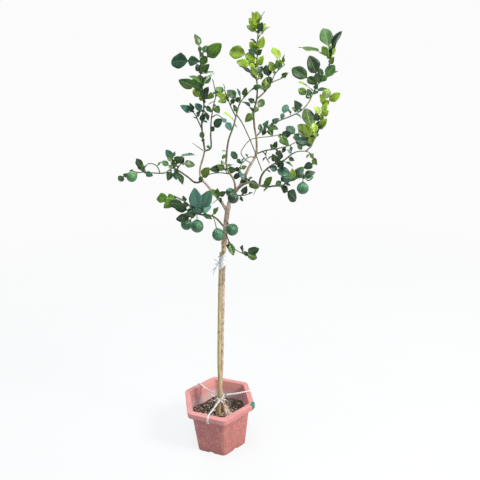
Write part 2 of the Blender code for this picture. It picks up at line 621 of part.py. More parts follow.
def join_pieces(name, pieces, collection, material, smooth=40):
    """One Boolean union of a node's stems and blades, applied, with the separate pieces removed."""
    first = pieces[0]
    rest = bpy.data.collections.new(name + "_pieces")
    bpy.context.scene.collection.children.link(rest)
    for piece in pieces[1:]:
        for home in list(piece.users_collection):
            home.objects.unlink(piece)
        rest.objects.link(piece)
    apart = first.data
    for solver in ("EXACT", "MANIFOLD"):
        first.data = apart.copy()
        boolean(first, rest, "UNION", solver)
        applied(first)
        if is_closed(first.data):
            break
    for piece in list(rest.objects):
        bpy.data.objects.remove(piece)
    bpy.data.collections.remove(rest)
    first.name = name
    first.data.name = name
    first.data.materials.clear()
    first.data.materials.append(material)
    first.data.shade_smooth()
    first.data.set_sharp_from_angle(angle=math.radians(smooth))
    for home in list(first.users_collection):
        home.objects.unlink(first)
    collection.objects.link(first)
    return first


def leaf_frame(root, clock, tilt, roll, curl):
    """A leaf's own axes at its root: along it, across it and out of its upper face.

    The clock angle is measured in the plane seen from the front, 0 to the right and 90 upwards. The tilt
    leans the leaf away from the viewer. At a roll of 0 the upper face looks at the viewer, and it turns
    towards the sky as the roll grows. These hold at the leaf's middle, so that at the root it starts half
    of its curl higher.
    """
    along = Vector((math.cos(clock) * math.cos(tilt), math.sin(tilt), math.sin(clock) * math.cos(tilt)))
    face = Vector((0, -1, 0))
    face = (face - along * face.dot(along)).normalized()
    side = along.cross(face)
    if side.z < 0:
        side = -side
    normal = (face * math.cos(roll) + side * math.sin(roll)).normalized()
    across = along.cross(normal).normalized()
    start = along * math.cos(curl / 2) + normal * math.sin(curl / 2)
    return root, start, across, normal * math.cos(curl / 2) - along * math.sin(curl / 2)


def midrib(frame, length, curl, share):
    """A point of the midrib, and the blade's normal there: the leaf bends evenly towards its under face."""
    root, along, _, normal = frame
    angle = curl * share
    bend = curl if abs(curl) > 1e-6 else 1e-6
    forward = length * math.sin(angle) / bend
    down = length * (1 - math.cos(angle)) / bend
    place = root + along * forward - normal * down
    return place, (normal * math.cos(angle) + along * math.sin(angle)).normalized()


def leaf_samples(frame, length, half_width, curl, outline):
    """Points spread over the blade, which tell how near it comes to its neighbours."""
    shares = np.linspace(0.12, 1.0, 13)
    widths = np.interp(shares, [o[0] for o in outline], [o[1] for o in outline])
    points = []
    for share, width in zip(shares, widths):
        place, _ = midrib(frame, length, curl, share)
        for reach in (-1.0, -0.67, -0.33, 0.0, 0.33, 0.67, 1.0):
            points.append(place + frame[2] * (reach * width * half_width))
    return np.array(points)


def leaf_blade(name, leaf, collection):
    """One closed blade of even thickness: a strip of stations that are flat across and bend along it."""
    frame, length, half_width, curl, outline = leaf
    verts = []
    for share, width in outline:
        place, normal = midrib(frame, length, curl, share)
        reach = frame[2] * (width * half_width)
        lift = normal * (LEAF_THICKNESS / 2)
        verts += [place - reach + lift, place + reach + lift, place + reach - lift, place - reach - lift]
    faces = [(0, 1, 2, 3)]
    for k in range(len(outline) - 1):
        a, b = 4 * k, 4 * k + 4
        faces += [(a, b, b + 1, a + 1), (a + 3, a + 2, b + 2, b + 3)]
        faces += [(a + 1, b + 1, a + 2), (a + 2, b + 1, b + 2)]
        faces += [(a, a + 3, b), (a + 3, b + 3, b)]
    end = 4 * (len(outline) - 1)
    faces += [(end, end + 3, end + 2, end + 1)]
    mesh = bpy.data.meshes.new(name)
    mesh.from_pydata(verts, [], faces)
    bm = bmesh.new()
    bm.from_mesh(mesh)
    bmesh.ops.recalc_face_normals(bm, faces=bm.faces)
    bm.to_mesh(mesh)
    bm.free()
    return mesh_object(name, mesh, collection)


class Crowd:
    """What a new leaf has to keep clear of: points with a radius, each belonging to a node."""

    def __init__(self):
        self.places = np.zeros((0, 3))
        self.radii = np.zeros(0)
        self.owners = np.zeros(0, int)
        self.kinds = np.zeros(0, int)

    def add(self, places, radius, owner, kind):
        places = np.array(places)
        self.places = np.vstack([self.places, places])
        self.radii = np.append(self.radii, np.broadcast_to(radius, len(places)))
        self.owners = np.append(self.owners, np.full(len(places), owner))
        self.kinds = np.append(self.kinds, np.full(len(places), kind))

    def room(self, samples, owner):
        """The least room left to other nodes, and to leaves of the same node."""
        middle = samples.mean(0)
        near = np.linalg.norm(self.places - middle, axis=1) < 0.11
        if not near.any():
            return 1.0, 1.0
        gaps = np.linalg.norm(samples[:, None] - self.places[near][None], axis=2).min(0) - self.radii[near]
        own = self.owners[near] == owner
        others = gaps[~own]
        leaves = gaps[own & (self.kinds[near] == 1)]
        return (others.min() if len(others) else 1.0), (leaves.min() if len(leaves) else 1.0)


def shoot_stems(shoot, parent_radius):
    """A shoot's own stems in metres, the first of them begun just off the spur that it grows from."""
    stems = [([placed(*point) for point in route], leaves) for route, leaves in shoot[4]]
    first = stems[0][0]
    out = (first[1] - first[0]).normalized()
    first[0] = first[0] + out * (parent_radius + SPUR_LENGTH + GAP)
    return stems


def nearest_radius(point, routes):
    """The radius of the wood or stem nearest to a point."""
    best = (1.0, 0.0)
    for points, radii in routes:
        for a, b, ra, rb in zip(points, points[1:], radii, radii[1:]):
            step = b - a
            t = max(0.0, min(1.0, (point - a).dot(step) / step.length_squared))
            best = min(best, ((point - a - step * t).length, ra + (rb - ra) * t))
    return best[1]


def dense(points, radii, step=0.003):
    """Points along a route, close together, with the route's radius at each."""
    places, sizes = [], []
    for a, b, ra, rb in zip(points, points[1:], radii, radii[1:]):
        count = max(1, int((b - a).length / step))
        for k in range(count + 1):
            places.append(a.lerp(b, k / count))
            sizes.append(ra + (rb - ra) * k / count)
    return places, np.array(sizes)


def grow():
    """Works out every route and leaf of the tree before anything is made."""
    routes = {"trunk": []}
    for _, start, end, route in LIMBS:
        points = [placed(*point) for point in route]
        routes["trunk"].append((points, tapered(points, start * MM, end * MM)))
    spurs = {"trunk": []}
    plan = {}
    for shoot in SHOOTS:
        name, parent, start, end, _ = shoot
        foot = placed(*shoot[4][0][0][0])
        radius = nearest_radius(foot, routes[parent])
        stems = shoot_stems(shoot, radius)
        toward = (stems[0][0][0] - foot).normalized()
        spurs.setdefault(parent, []).append((foot, foot + toward * (radius + SPUR_LENGTH), start * MM))
        spurs.setdefault(name, [])
        routes[name] = []
        for k, (points, _) in enumerate(stems):
            first = start * MM if k == 0 else nearest_radius(points[0], routes[name]) * 0.85
            routes[name].append((points, tapered(points, first, end * MM)))
        plan[name] = stems
    stalks = {}
    for name, parent, middle, foot, radius in FRUITS:
        centre, foot = placed(*middle), placed(*foot)
        down = (centre - foot).normalized()
        end = centre - down * (radius * MM + GAP)
        sag = foot.lerp(end, 0.5) + Vector((0, 0, 0.15 * (end - foot).length))
        stalks.setdefault(parent, []).append([foot, sag, end])
    return routes, spurs, plan, stalks


def set_leaves(routes, plan, stalks):
    """Gives each leaf its lean and roll, drawn again until it is clear of what grows round it."""
    crowd = Crowd()
    names = ["trunk"] + [shoot[0] for shoot in SHOOTS]
    for owner, name in enumerate(names):
        for points, radii in routes[name]:
            places, sizes = dense(points, radii)
            crowd.add(places, sizes + STEM_SPACE - LEAF_SPACE, owner, 0)
        for points in stalks.get(name, []):
            places, sizes = dense(points, [STALK_RADIUS] * len(points))
            crowd.add(places, sizes + STEM_SPACE - LEAF_SPACE, owner, 0)
    for k, fruit in enumerate(FRUITS):
        crowd.add([placed(*fruit[2])], fruit[4] * MM + FRUIT_SPACE - LEAF_SPACE, len(names) + k, 0)
    for thorn in THORNS:
        crowd.add(dense([placed(*point) for point in thorn], [THORN_RADIUS] * 2)[0], THORN_RADIUS, 0, 0)
    leaves = {}
    for owner, name in enumerate(names):
        leaves[name] = []
        for s, (points, rows) in enumerate(plan.get(name, [])):
            for k, row in enumerate(rows):
                leaf = settle(row, points, crowd, owner, "%s %d %d" % (name, s, k))
                if leaf is None:
                    continue
                leaves[name].append(leaf)
                crowd.add(leaf_samples(*leaf), 0.0, owner, 1)
    return leaves


def settle(row, points, crowd, owner, name):
    """One leaf from its row, or None where it finds no room."""
    kind = row[4]
    draw = random.Random("%d %s" % (LEAF_SEED, name))
    root = nearest_on_sheet(points, Vector(row[0:2]))
    seen = placed(row[2], row[3], root.y / MM) - root
    winged = kind[0] in "WN" or seen.length > WINGED_LENGTH
    outline = WINGED_OUTLINE if winged else SMALL_OUTLINE if seen.length < SMALL_LENGTH else PLAIN_OUTLINE
    best = None
    for attempt in range(LEAF_DRAWS):
        size = seen.length * (1 - LEAF_SHRINK * max(0, attempt - LEAF_DRAWS // 3))
        tilt = math.radians(draw.uniform(-LEAF_LEAN, LEAF_LEAN))
        roll = math.radians(draw.uniform(*LEAF_ROLL[kind[0]]))
        curl = math.radians(draw.uniform(*(WINGED_CURL if winged else PLAIN_CURL)))
        chord = size / math.cos(tilt)
        length = chord * (curl / 2) / math.sin(curl / 2)
        ratio = (WINGED_HALF_WIDTH if winged else PLAIN_HALF_WIDTH) * draw.uniform(*LEAF_WIDTH_RANGE)
        frame = leaf_frame(root, math.atan2(seen.z, seen.x), tilt, roll, curl)
        leaf = (frame, length, size * ratio, curl, outline)
        others, own = crowd.room(leaf_samples(*leaf), owner)
        if others > LEAF_SPACE and own > OWN_LEAF_SPACE:
            return leaf
        if others > LEAF_SPACE and (best is None or own > best[0]):
            best = (own, leaf)
    return best[1] if best else None


def hexagon(name, collection, top_z, bottom_z, top_radius, bottom_radius):
    """A tapered six-sided block about the pot's axis, turned as the pot stands."""
    bm = bmesh.new()
    bmesh.ops.create_cone(bm, cap_ends=True, segments=6, radius1=bottom_radius, radius2=top_radius,
                          depth=top_z - bottom_z)
    corner = bm.verts[:][0].co
    half_side = math.radians(30)
    turn = half_side + POT_TURN - math.atan2(corner.y, corner.x)
    bmesh.ops.rotate(bm, verts=bm.verts, cent=(0, 0, 0), matrix=Matrix.Rotation(turn, 3, "Z"))
    bmesh.ops.translate(bm, verts=bm.verts, vec=(0, 0, (top_z + bottom_z) / 2))
    mesh = bpy.data.meshes.new(name)
    bm.to_mesh(mesh)
    bm.free()
    return mesh_object(name, mesh, collection)


def rod(name, collection, start, end, radius, sides=8):
    """A straight cylinder between two points."""
    bm = bmesh.new()
    axis = end - start
    bmesh.ops.create_cone(bm, cap_ends=True, segments=sides, radius1=radius, radius2=radius,
                          depth=axis.length)
    turn = Vector((0, 0, 1)).rotation_difference(axis).to_matrix()
    bmesh.ops.rotate(bm, verts=bm.verts, cent=(0, 0, 0), matrix=turn)
    bmesh.ops.translate(bm, verts=bm.verts, vec=(start + end) / 2)
    mesh = bpy.data.meshes.new(name)
    bm.to_mesh(mesh)
    bm.free()
    return mesh_object(name, mesh, collection)


def round_edges(obj, chosen, width, segments):
    """Rounds the edges that a test picks out."""
    bm = bmesh.new()
    bm.from_mesh(obj.data)
    edges = [edge for edge in bm.edges if chosen(edge.verts[0].co, edge.verts[1].co)]
    bmesh.ops.bevel(bm, geom=edges, offset=width, segments=segments, profile=0.5, affect="EDGES",
                    clamp_overlap=True)
    bm.to_mesh(obj.data)
    bm.free()


def upright(a, b):
    return abs(a.z - b.z) > 0.5 * (a - b).length


def make_pot(parts, cutters, material):
    pot = hexagon("pot", parts, POT_HEIGHT - LIP_HEIGHT, 0, BODY_TOP_CIRCUMRADIUS, BASE_CIRCUMRADIUS)
    round_edges(pot, upright, CORNER_ROUNDING, 2)
    lip = hexagon("pot_lip", cutters, POT_HEIGHT, POT_HEIGHT - LIP_HEIGHT - GAP, LIP_CIRCUMRADIUS,
                  LIP_UNDER_CIRCUMRADIUS)
    round_edges(lip, upright, CORNER_ROUNDING, 2)
    round_edges(lip, lambda a, b: min(a.z, b.z) > POT_HEIGHT - 1e-4, LIP_EDGE_ROUNDING, 2)
    boolean(pot, lip, "UNION")

    taper = (BODY_TOP_CIRCUMRADIUS - BASE_CIRCUMRADIUS) / (POT_HEIGHT - LIP_HEIGHT)
    inner_base = BASE_CIRCUMRADIUS + taper * FLOOR_THICKNESS - WALL_THICKNESS
    inner_top = BASE_CIRCUMRADIUS + taper * (POT_HEIGHT + CUT_PAST) - WALL_THICKNESS
    inner = hexagon("pot_inside", cutters, POT_HEIGHT + CUT_PAST, FLOOR_THICKNESS, inner_top, inner_base)
    round_edges(inner, upright, CORNER_ROUNDING - WALL_THICKNESS, 2)
    boolean(pot, inner, "DIFFERENCE")

    for k in range(6):
        angle = POT_TURN + math.radians(60 * k)
        out = Vector((math.cos(angle), math.sin(angle), 0))
        sunk = Vector((0, 0, DRAIN_GROOVE_DEPTH - DRAIN_GROOVE_RADIUS))
        groove = rod("drain_groove", cutters, out * DRAIN_GROOVE_START + sunk,
                     out * (BASE_CIRCUMRADIUS + CUT_PAST) + sunk, DRAIN_GROOVE_RADIUS)
        boolean(pot, groove, "DIFFERENCE")
        foot = out * DRAIN_RING_RADIUS
        rise = Vector((0, 0, FLOOR_THICKNESS + CUT_PAST))
        hole = rod("drain_hole", cutters, foot - rise, foot + rise, DRAIN_HOLE_RADIUS)
        boolean(pot, hole, "DIFFERENCE")
    applied(pot)
    finish(pot, material)
    return pot


def finish(obj, material, smooth=35):
    obj.data.materials.clear()
    obj.data.materials.append(material)
    obj.data.name = obj.name
    obj.data.shade_smooth()
    obj.data.set_sharp_from_angle(angle=math.radians(smooth))


def make_soil(parts, cutters, material, standing):
    """The soil fills the pot up to its level: a rough, mounded top, and a hole for whatever stands in it."""
    taper = (BODY_TOP_CIRCUMRADIUS - BASE_CIRCUMRADIUS) / (POT_HEIGHT - LIP_HEIGHT)
    inset = WALL_THICKNESS + GAP * 2
    low = FLOOR_THICKNESS + GAP
    soil = hexagon("soil", parts, SOIL_LEVEL, low, BASE_CIRCUMRADIUS + taper * SOIL_LEVEL - inset,
                   BASE_CIRCUMRADIUS + taper * low - inset)
    round_edges(soil, upright, CORNER_ROUNDING - WALL_THICKNESS, 2)
    bm = bmesh.new()
    bm.from_mesh(soil.data)
    top = [face for face in bm.faces if face.normal.z > 0.9]
    edge_points = [vert for face in top for vert in face.verts]
    fan = bmesh.ops.poke(bm, faces=top)
    spokes = [edge for vert in fan["verts"] for edge in vert.link_edges]
    bmesh.ops.subdivide_edges(bm, edges=spokes, cuts=SOIL_CELLS - 1, use_grid_fill=False)
    bmesh.ops.triangulate(bm, faces=bm.faces)
    draw = random.Random(5)
    for vert in sorted(bm.verts, key=lambda v: (round(v.co.x, 5), round(v.co.y, 5), round(v.co.z, 5))):
        if abs(vert.co.z - SOIL_LEVEL) < 1e-5 and vert not in edge_points:
            reach = vert.co.xy.length / BODY_TOP_CIRCUMRADIUS
            vert.co.z += SOIL_MOUND * (1 - reach) + draw.uniform(-1, 1) * SOIL_ROUGHNESS
    bm.to_mesh(soil.data)
    bm.free()
    for k, (points, radii, resolution) in enumerate(standing):
        longer = [points[0] + (points[0] - points[1]).normalized() * SOIL_HOLE_GAP * 3, *points[1:-1],
                  points[-1] + (points[-1] - points[-2]).normalized() * SOIL_HOLE_GAP * 3]
        wider = [radius + SOIL_HOLE_GAP for radius in radii]
        hole = tube("soil_hole_%d" % k, longer, wider, cutters, resolution)
        boolean(soil, hole, "DIFFERENCE")
    applied(soil)
    finish(soil, material)
    return soil


def make_fruit(name, middle, stalk_foot, radius, parts, material):
    """A rough, slightly long ball with a short neck towards its stalk."""
    bm = bmesh.new()
    bmesh.ops.create_uvsphere(bm, u_segments=10, v_segments=6, radius=radius)
    draw = random.Random(name)
    wave = [(draw.randint(3, 6), draw.uniform(0, 6.28), draw.uniform(0, 6.28)) for _ in range(3)]
    for vert in bm.verts:
        direction = vert.co.normalized()
        turn = math.atan2(direction.y, direction.x)
        if direction.xy.length < 1e-4:
            continue
        rough = sum(math.sin(n * turn + a) * math.sin(n * direction.z * 2 + b) for n, a, b in wave)
        vert.co *= 1 - 0.03 + 0.012 * rough
        if direction.z > 0.6:
            vert.co.z += radius * 0.10 * (direction.z - 0.6)
    bmesh.ops.triangulate(bm, faces=bm.faces)
    up = (stalk_foot - middle).normalized()
    turn = Vector((0, 0, 1)).rotation_difference(up).to_matrix()
    bmesh.ops.rotate(bm, verts=bm.verts, cent=(0, 0, 0), matrix=turn)
    bmesh.ops.translate(bm, verts=bm.verts, vec=middle)
    mesh = bpy.data.meshes.new(name)
    bm.to_mesh(mesh)
    bm.free()
    fruit = mesh_object(name, mesh, parts)
    finish(fruit, material)
    return fruit


def around_two(low, high, turns, steps, gap, tilt=0.0):
    """A coil drawn tight round the stem and the cane, which it takes in together.

    At each direction the band touches whichever of the two stands out furthest, so its plan is the outline
    of a belt round two wheels.
    """
    points = []
    for k in range(steps + 1):
        share = k / steps
        height = low + (high - low) * share
        angle = 2 * math.pi * turns * share
        wheels = [wheel_at(CANE_LINE, height), wheel_at(TRUNK_LINE, height)]
        points.append(belt_point(wheels, angle, gap) + Vector((0, 0, height + tilt * math.cos(angle))))
    return points


def wheel_at(line, height):
    """Where a nearly upright stem passes a height: its middle and its radius."""
    points, radii = line
    for a, b, ra, rb in zip(points, points[1:], radii, radii[1:]):
        if a.z <= height <= b.z:
            t = (height - a.z) / (b.z - a.z)
            return a.lerp(b, t), ra + (rb - ra) * t
    return points[-1], radii[-1]


def belt_point(wheels, angle, gap):
    """A point of the belt round two wheels, at a share of its length given by an angle."""
    (a, ra), (b, rb) = wheels
    ra, rb = ra + gap, rb + gap
    axis = Vector((b.x - a.x, b.y - a.y, 0))
    span = axis.length
    axis = axis / span
    side = Vector((-axis.y, axis.x, 0))
    lean = math.asin((ra - rb) / span)
    reach = math.pi / 2 - lean
    straight = span * math.cos(lean)
    stretches = [rb * 2 * reach, straight, ra * 2 * (math.pi - reach), straight]
    wanted = (angle / (2 * math.pi)) % 1.0 * sum(stretches)
    if wanted < stretches[0]:
        turn = -reach + wanted / rb
        spot, size = b, rb
    elif wanted < stretches[0] + stretches[1]:
        t = (wanted - stretches[0]) / straight
        out = axis * math.cos(reach) + side * math.sin(reach)
        start, end = b + out * rb, a + out * ra
        return Vector((start.x + (end.x - start.x) * t, start.y + (end.y - start.y) * t, 0))
    elif wanted < sum(stretches[:3]):
        turn = reach + (wanted - stretches[0] - stretches[1]) / ra
        spot, size = a, ra
    else:
        t = (wanted - sum(stretches[:3])) / straight
        out = axis * math.cos(reach) - side * math.sin(reach)
        start, end = a + out * ra, b + out * rb
        return Vector((start.x + (end.x - start.x) * t, start.y + (end.y - start.y) * t, 0))
    out = axis * math.cos(turn) + side * math.sin(turn)
    return Vector((spot.x + out.x * size, spot.y + out.y * size, 0))


def rim_point(angle, reach, height):
    """A point over the lip in a plan direction: reach is measured outwards from the lip's outer face."""
    sector = math.radians(60)
    inward = (angle - POT_TURN + sector / 2) % sector - sector / 2
    flat = LIP_CIRCUMRADIUS * math.cos(sector / 2) / math.cos(inward)
    return Vector((math.cos(angle) * (flat + reach), math.sin(angle) * (flat + reach), height))


def tie_strand(angle, knot, sag):
    """One strand of a tie: from the knot to the lip, round its edge and down to its under side."""
    clear = TWINE_RADIUS + GAP
    start = rim_point(angle, -LIP_FLAT_WIDTH, POT_HEIGHT + clear + TIE_LIFT)
    points = [knot] + [knot.lerp(start, t) - Vector((0, 0, sag * 4 * t * (1 - t))) for t in (0.33, 0.66)]
    points.append(start)
    bend = (LIP_EDGE_ROUNDING + clear + 0.0001) / math.cos(math.radians(15))
    for turn in (75, 45, 15):
        reach = bend * math.cos(math.radians(turn)) - LIP_EDGE_ROUNDING
        rise = bend * math.sin(math.radians(turn)) - LIP_EDGE_ROUNDING
        points.append(rim_point(angle, reach, POT_HEIGHT + rise))
    under = POT_HEIGHT - LIP_HEIGHT
    points.append(rim_point(angle, 0.0, under - TIE_TURN_UNDER))
    points.append(rim_point(angle, -TIE_HOOK, under - 1.8 * TIE_TURN_UNDER))
    return points


def make_tie(name, angle, knot, sag, parts):
    """Twine in a loop: out to the lip, down round it, and back beside itself."""
    turn = TIE_STRANDS_APART / LIP_CIRCUMRADIUS
    side = Vector((-math.sin(angle), math.cos(angle), 0)) * (TIE_START_APART / 2)
    points = tie_strand(angle - turn, knot - side, sag)
    points += reversed(tie_strand(angle + turn, knot + side, sag * 0.6))
    return tube(name, points, [TWINE_RADIUS] * len(points), parts, 0)


def make_clip(parts, cutters, material):
    """A corner clip that lies over the lip and hangs down its outer face."""
    skin = GAP + CLIP_THICKNESS
    corner_spread = 1 / math.cos(math.radians(30))
    outer = LIP_CIRCUMRADIUS + skin * corner_spread
    inner = LIP_CIRCUMRADIUS + GAP * corner_spread
    clip = hexagon("rim_clip", parts, POT_HEIGHT + skin, POT_HEIGHT - CLIP_DROP, outer, outer)
    round_edges(clip, upright, CORNER_ROUNDING, 2)
    round_edges(clip, lambda a, b: min(a.z, b.z) > POT_HEIGHT, LIP_EDGE_ROUNDING, 2)
    core = hexagon("clip_core", cutters, POT_HEIGHT + GAP, POT_HEIGHT - CLIP_DROP - CUT_PAST, inner, inner)
    round_edges(core, upright, CORNER_ROUNDING, 2)
    boolean(clip, core, "DIFFERENCE")
    angle = math.radians(CLIP_ANGLE)
    out = Vector((math.cos(angle), math.sin(angle), 0))
    bm = bmesh.new()
    bmesh.ops.create_cube(bm, size=1, matrix=Matrix.Diagonal((CLIP_REACH, CLIP_WIDTH, 3 * CLIP_DROP, 1)))
    bmesh.ops.rotate(bm, verts=bm.verts, cent=(0, 0, 0), matrix=Matrix.Rotation(angle, 3, "Z"))
    bmesh.ops.translate(bm, verts=bm.verts, vec=out * LIP_CIRCUMRADIUS + Vector((0, 0, POT_HEIGHT)))
    mesh = bpy.data.meshes.new("clip_extent")
    bm.to_mesh(mesh)
    bm.free()
    boolean(clip, mesh_object("clip_extent", mesh, cutters), "INTERSECT")
    applied(clip)
    finish(clip, material)


def swollen(points, radii, heights, length, swell):
    """A route with short rings of a larger radius put in at the given heights."""
    line = list(zip(points, radii))
    for height in heights:
        for offset, extra in ((-length, 0), (-length * 0.35, swell), (length * 0.35, swell), (length, 0)):
            place, radius = wheel_at((points, radii), height + offset)
            line.append((place, radius + extra))
    line.sort(key=lambda item: item[0].z)
    return [place for place, _ in line], [radius for _, radius in line]


for obj in list(bpy.data.objects):
    bpy.data.objects.remove(obj)
PARTS = bpy.data.collections.new("potted_lime_tree")
CUTTERS = bpy.data.collections.new("cutters")
for group in (PARTS, CUTTERS):
    bpy.context.scene.collection.children.link(group)
CUTTERS.hide_render = True

CANE_POINTS = millimetres(CANE_ROUTE)
CANE_LINE = swollen(CANE_POINTS, tapered(CANE_POINTS, *CANE_RADIUS), CANE_NODES, CANE_NODE_LENGTH,
                    CANE_NODE_SWELL)
FOOT_POINTS = millimetres(STEM_FOOT)
STEM_POINTS = FOOT_POINTS + [placed(*point) for point in LIMBS[0][3]]
STEM_RADII = [radius * MM for radius in STEM_FOOT_RADII] + tapered(STEM_POINTS[len(FOOT_POINTS):],
                                                               LIMBS[0][1] * MM, LIMBS[0][2] * MM)
TRUNK_LINE = swollen(STEM_POINTS, STEM_RADII, [GRAFT_HEIGHT], GRAFT_LENGTH, GRAFT_SWELL)

ROUTES, SPURS, PLAN, STALKS = grow()
LEAVES = set_leaves(ROUTES, PLAN, STALKS)

bark = principled("bark", (0.17, 0.12, 0.085), 0.85)
root_lines = []
pieces = [tube("trunk_stem", *TRUNK_LINE, CUTTERS, 2)]
for name, start, end, _ in LIMBS[1:]:
    points, radii = ROUTES["trunk"][[limb[0] for limb in LIMBS].index(name)]
    pieces.append(tube("trunk_" + name, points, radii, CUTTERS, 1))
for k, route in enumerate(SURFACE_ROOTS):
    points = millimetres(route)
    line = (points, tapered(points, *SURFACE_ROOT_RADIUS))
    root_lines.append(line)
    pieces.append(tube("trunk_root_%d" % k, *line, CUTTERS, 1))
for k, thorn in enumerate(THORNS):
    points = [placed(*point) for point in thorn]
    pieces.append(tube("trunk_thorn_%d" % k, points, [THORN_RADIUS, THORN_RADIUS * 0.4], CUTTERS, 1))


def spurs_and_stalks(name):
    made = []
    for k, (foot, tip, radius) in enumerate(SPURS.get(name, [])):
        made.append(tube("%s_spur_%d" % (name, k), [foot, tip], [radius * 1.15, radius], CUTTERS, 1))
    for k, points in enumerate(STALKS.get(name, [])):
        made.append(tube("%s_stalk_%d" % (name, k), points, [STALK_RADIUS] * len(points), CUTTERS, 0))
    return made


join_pieces("trunk", pieces + spurs_and_stalks("trunk"), PARTS, bark)

for shoot in SHOOTS:
    name = shoot[0]
    tone = SHOOT_TONES.get(name, LEAF_GREEN)
    pieces = []
    for k, (points, radii) in enumerate(ROUTES[name]):
        pieces.append(tube("%s_stem_%d" % (name, k), points, radii, CUTTERS, 0))
    pieces += spurs_and_stalks(name)
    for k, leaf in enumerate(LEAVES[name]):
        pieces.append(leaf_blade("%s_leaf_%d" % (name, k), leaf, CUTTERS))
    join_pieces(name, pieces, PARTS, principled(name + "_green", tone, 0.38), 50)

for name, parent, middle, foot, radius in FRUITS:
    tone = FRUIT_TONES.get(name, FRUIT_GREEN)
    peel = principled(name + "_peel", tone, 0.5)
    make_fruit(name, placed(*middle), placed(*foot), radius * MM, PARTS, peel)

cane = tube("stake", *CANE_LINE, PARTS, 2)
finish(cane, principled("cane", (0.33, 0.27, 0.12), 0.6))

twine = principled("twine", (0.72, 0.70, 0.64), 0.8)
knot_route = around_two(KNOT_LOW, KNOT_HIGH, KNOT_TURNS, 26, TAPE_RADIUS + BAND_GAP)
knot = tube("base_knot", knot_route, [TAPE_RADIUS] * len(knot_route), PARTS, 0)
finish(knot, twine)
tape = principled("graft_tape", (0.82, 0.82, 0.80), 0.6)
wrap_route = around_two(WRAP_LOW, WRAP_HIGH, WRAP_TURNS, 56, TAPE_RADIUS + BAND_GAP, WRAP_TILT)
wrap = tube("graft_wrap", wrap_route, [TAPE_RADIUS] * len(wrap_route), PARTS, 0)
finish(wrap, tape)
for name, angle, start, sag in TIES:
    tie = make_tie(name, math.radians(angle), Vector(start) * MM, sag * MM, PARTS)
    finish(tie, twine)

make_clip(PARTS, CUTTERS, principled("clip_plastic", (0.01, 0.27, 0.13), 0.4))
make_pot(PARTS, CUTTERS, principled("clay_pink_plastic", (0.62, 0.28, 0.24), 0.5))
standing = [(*CANE_LINE, 2), (*TRUNK_LINE, 2)] + [(*line, 1) for line in root_lines]
make_soil(PARTS, CUTTERS, principled("potting_soil", (0.07, 0.045, 0.03), 0.95), standing)

for cutter in CUTTERS.objects:
    cutter.display_type = "WIRE"
    cutter.hide_render = True
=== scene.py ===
"""The looks of the potted kaffir lime tree: fine leaves, bark, cane, fruits, twine, soil and pot.

Units are metres, +Z up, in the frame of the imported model. The crown is laid out on the same drawing sheet as
the model: a place on the sheet is (across, down) in sheet units, and comes with a depth in mm.
"""

import json
import math
import random

import bpy
import numpy as np
from mathutils import Matrix, Vector

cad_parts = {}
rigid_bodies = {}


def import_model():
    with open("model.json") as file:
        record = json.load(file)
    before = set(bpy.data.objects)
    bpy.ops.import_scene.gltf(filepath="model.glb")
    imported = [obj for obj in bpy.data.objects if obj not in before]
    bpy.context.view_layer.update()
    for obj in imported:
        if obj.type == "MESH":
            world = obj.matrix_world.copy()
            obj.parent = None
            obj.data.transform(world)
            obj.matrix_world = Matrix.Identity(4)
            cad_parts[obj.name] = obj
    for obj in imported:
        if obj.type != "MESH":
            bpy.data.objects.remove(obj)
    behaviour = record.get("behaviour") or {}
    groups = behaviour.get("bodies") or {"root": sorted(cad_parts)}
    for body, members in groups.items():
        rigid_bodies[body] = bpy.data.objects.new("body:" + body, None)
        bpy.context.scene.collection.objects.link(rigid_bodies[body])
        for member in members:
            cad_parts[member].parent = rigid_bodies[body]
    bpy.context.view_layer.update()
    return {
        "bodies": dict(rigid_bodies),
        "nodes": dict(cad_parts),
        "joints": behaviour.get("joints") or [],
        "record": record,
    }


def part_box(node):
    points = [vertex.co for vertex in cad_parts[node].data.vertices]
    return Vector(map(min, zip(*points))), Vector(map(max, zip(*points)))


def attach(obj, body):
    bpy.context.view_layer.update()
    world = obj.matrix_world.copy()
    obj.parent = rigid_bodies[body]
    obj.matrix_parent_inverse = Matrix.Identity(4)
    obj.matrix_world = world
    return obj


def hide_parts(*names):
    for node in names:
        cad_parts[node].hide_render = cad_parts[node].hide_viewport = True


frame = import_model()

MM = 0.001

# The drawing sheet: its middle, its scale, and the eye that it is drawn from
SHEET_MIDDLE = 240
SHEET_SCALE = 450
EYE = Vector((0.094, -1.440, 1.195))
EYE_PITCH = math.radians(16.1)
EYE_ROLL = math.radians(-1.55)
SENSOR_WIDTH = 36.0

# Pot and soil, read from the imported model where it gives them
POT_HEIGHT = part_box("pot")[1].z
POT_TURN = math.radians(9.8)
LIP_CIRCUMRADIUS = 0.140
LIP_HEIGHT = 0.020
LIP_FLAT_WIDTH = 0.021
LIP_EDGE_ROUNDING = 0.002
BODY_TOP_CIRCUMRADIUS = 0.120
BASE_CIRCUMRADIUS = 0.100
WALL_THICKNESS = 0.0035
CORNER_ROUNDING = 0.009
SOIL_LEVEL = 0.106
SOIL_MOUND = 0.008
SOIL_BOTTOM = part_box("soil")[0].z
GAP = 0.0003

# Cane that the stem is tied to, and the bindings
CANE_RADIUS = (0.0072, 0.0060)
CANE_ROUTE = [(-6, -12, 50), (-3, -12, 110), (4, -11, 180), (8, -10, 337), (13, -10, 452), (18, -10, 551),
              (22, -10, 625), (28, -12, 708), (31, -13, 742)]
CANE_NODES = (0.448, 0.625)
CANE_NODE_SWELL = 0.0010
CANE_NODE_LENGTH = 0.004
TAPE_RADIUS = 0.0014
BAND_GAP = 0.0010
TWINE_RADIUS = 0.0012

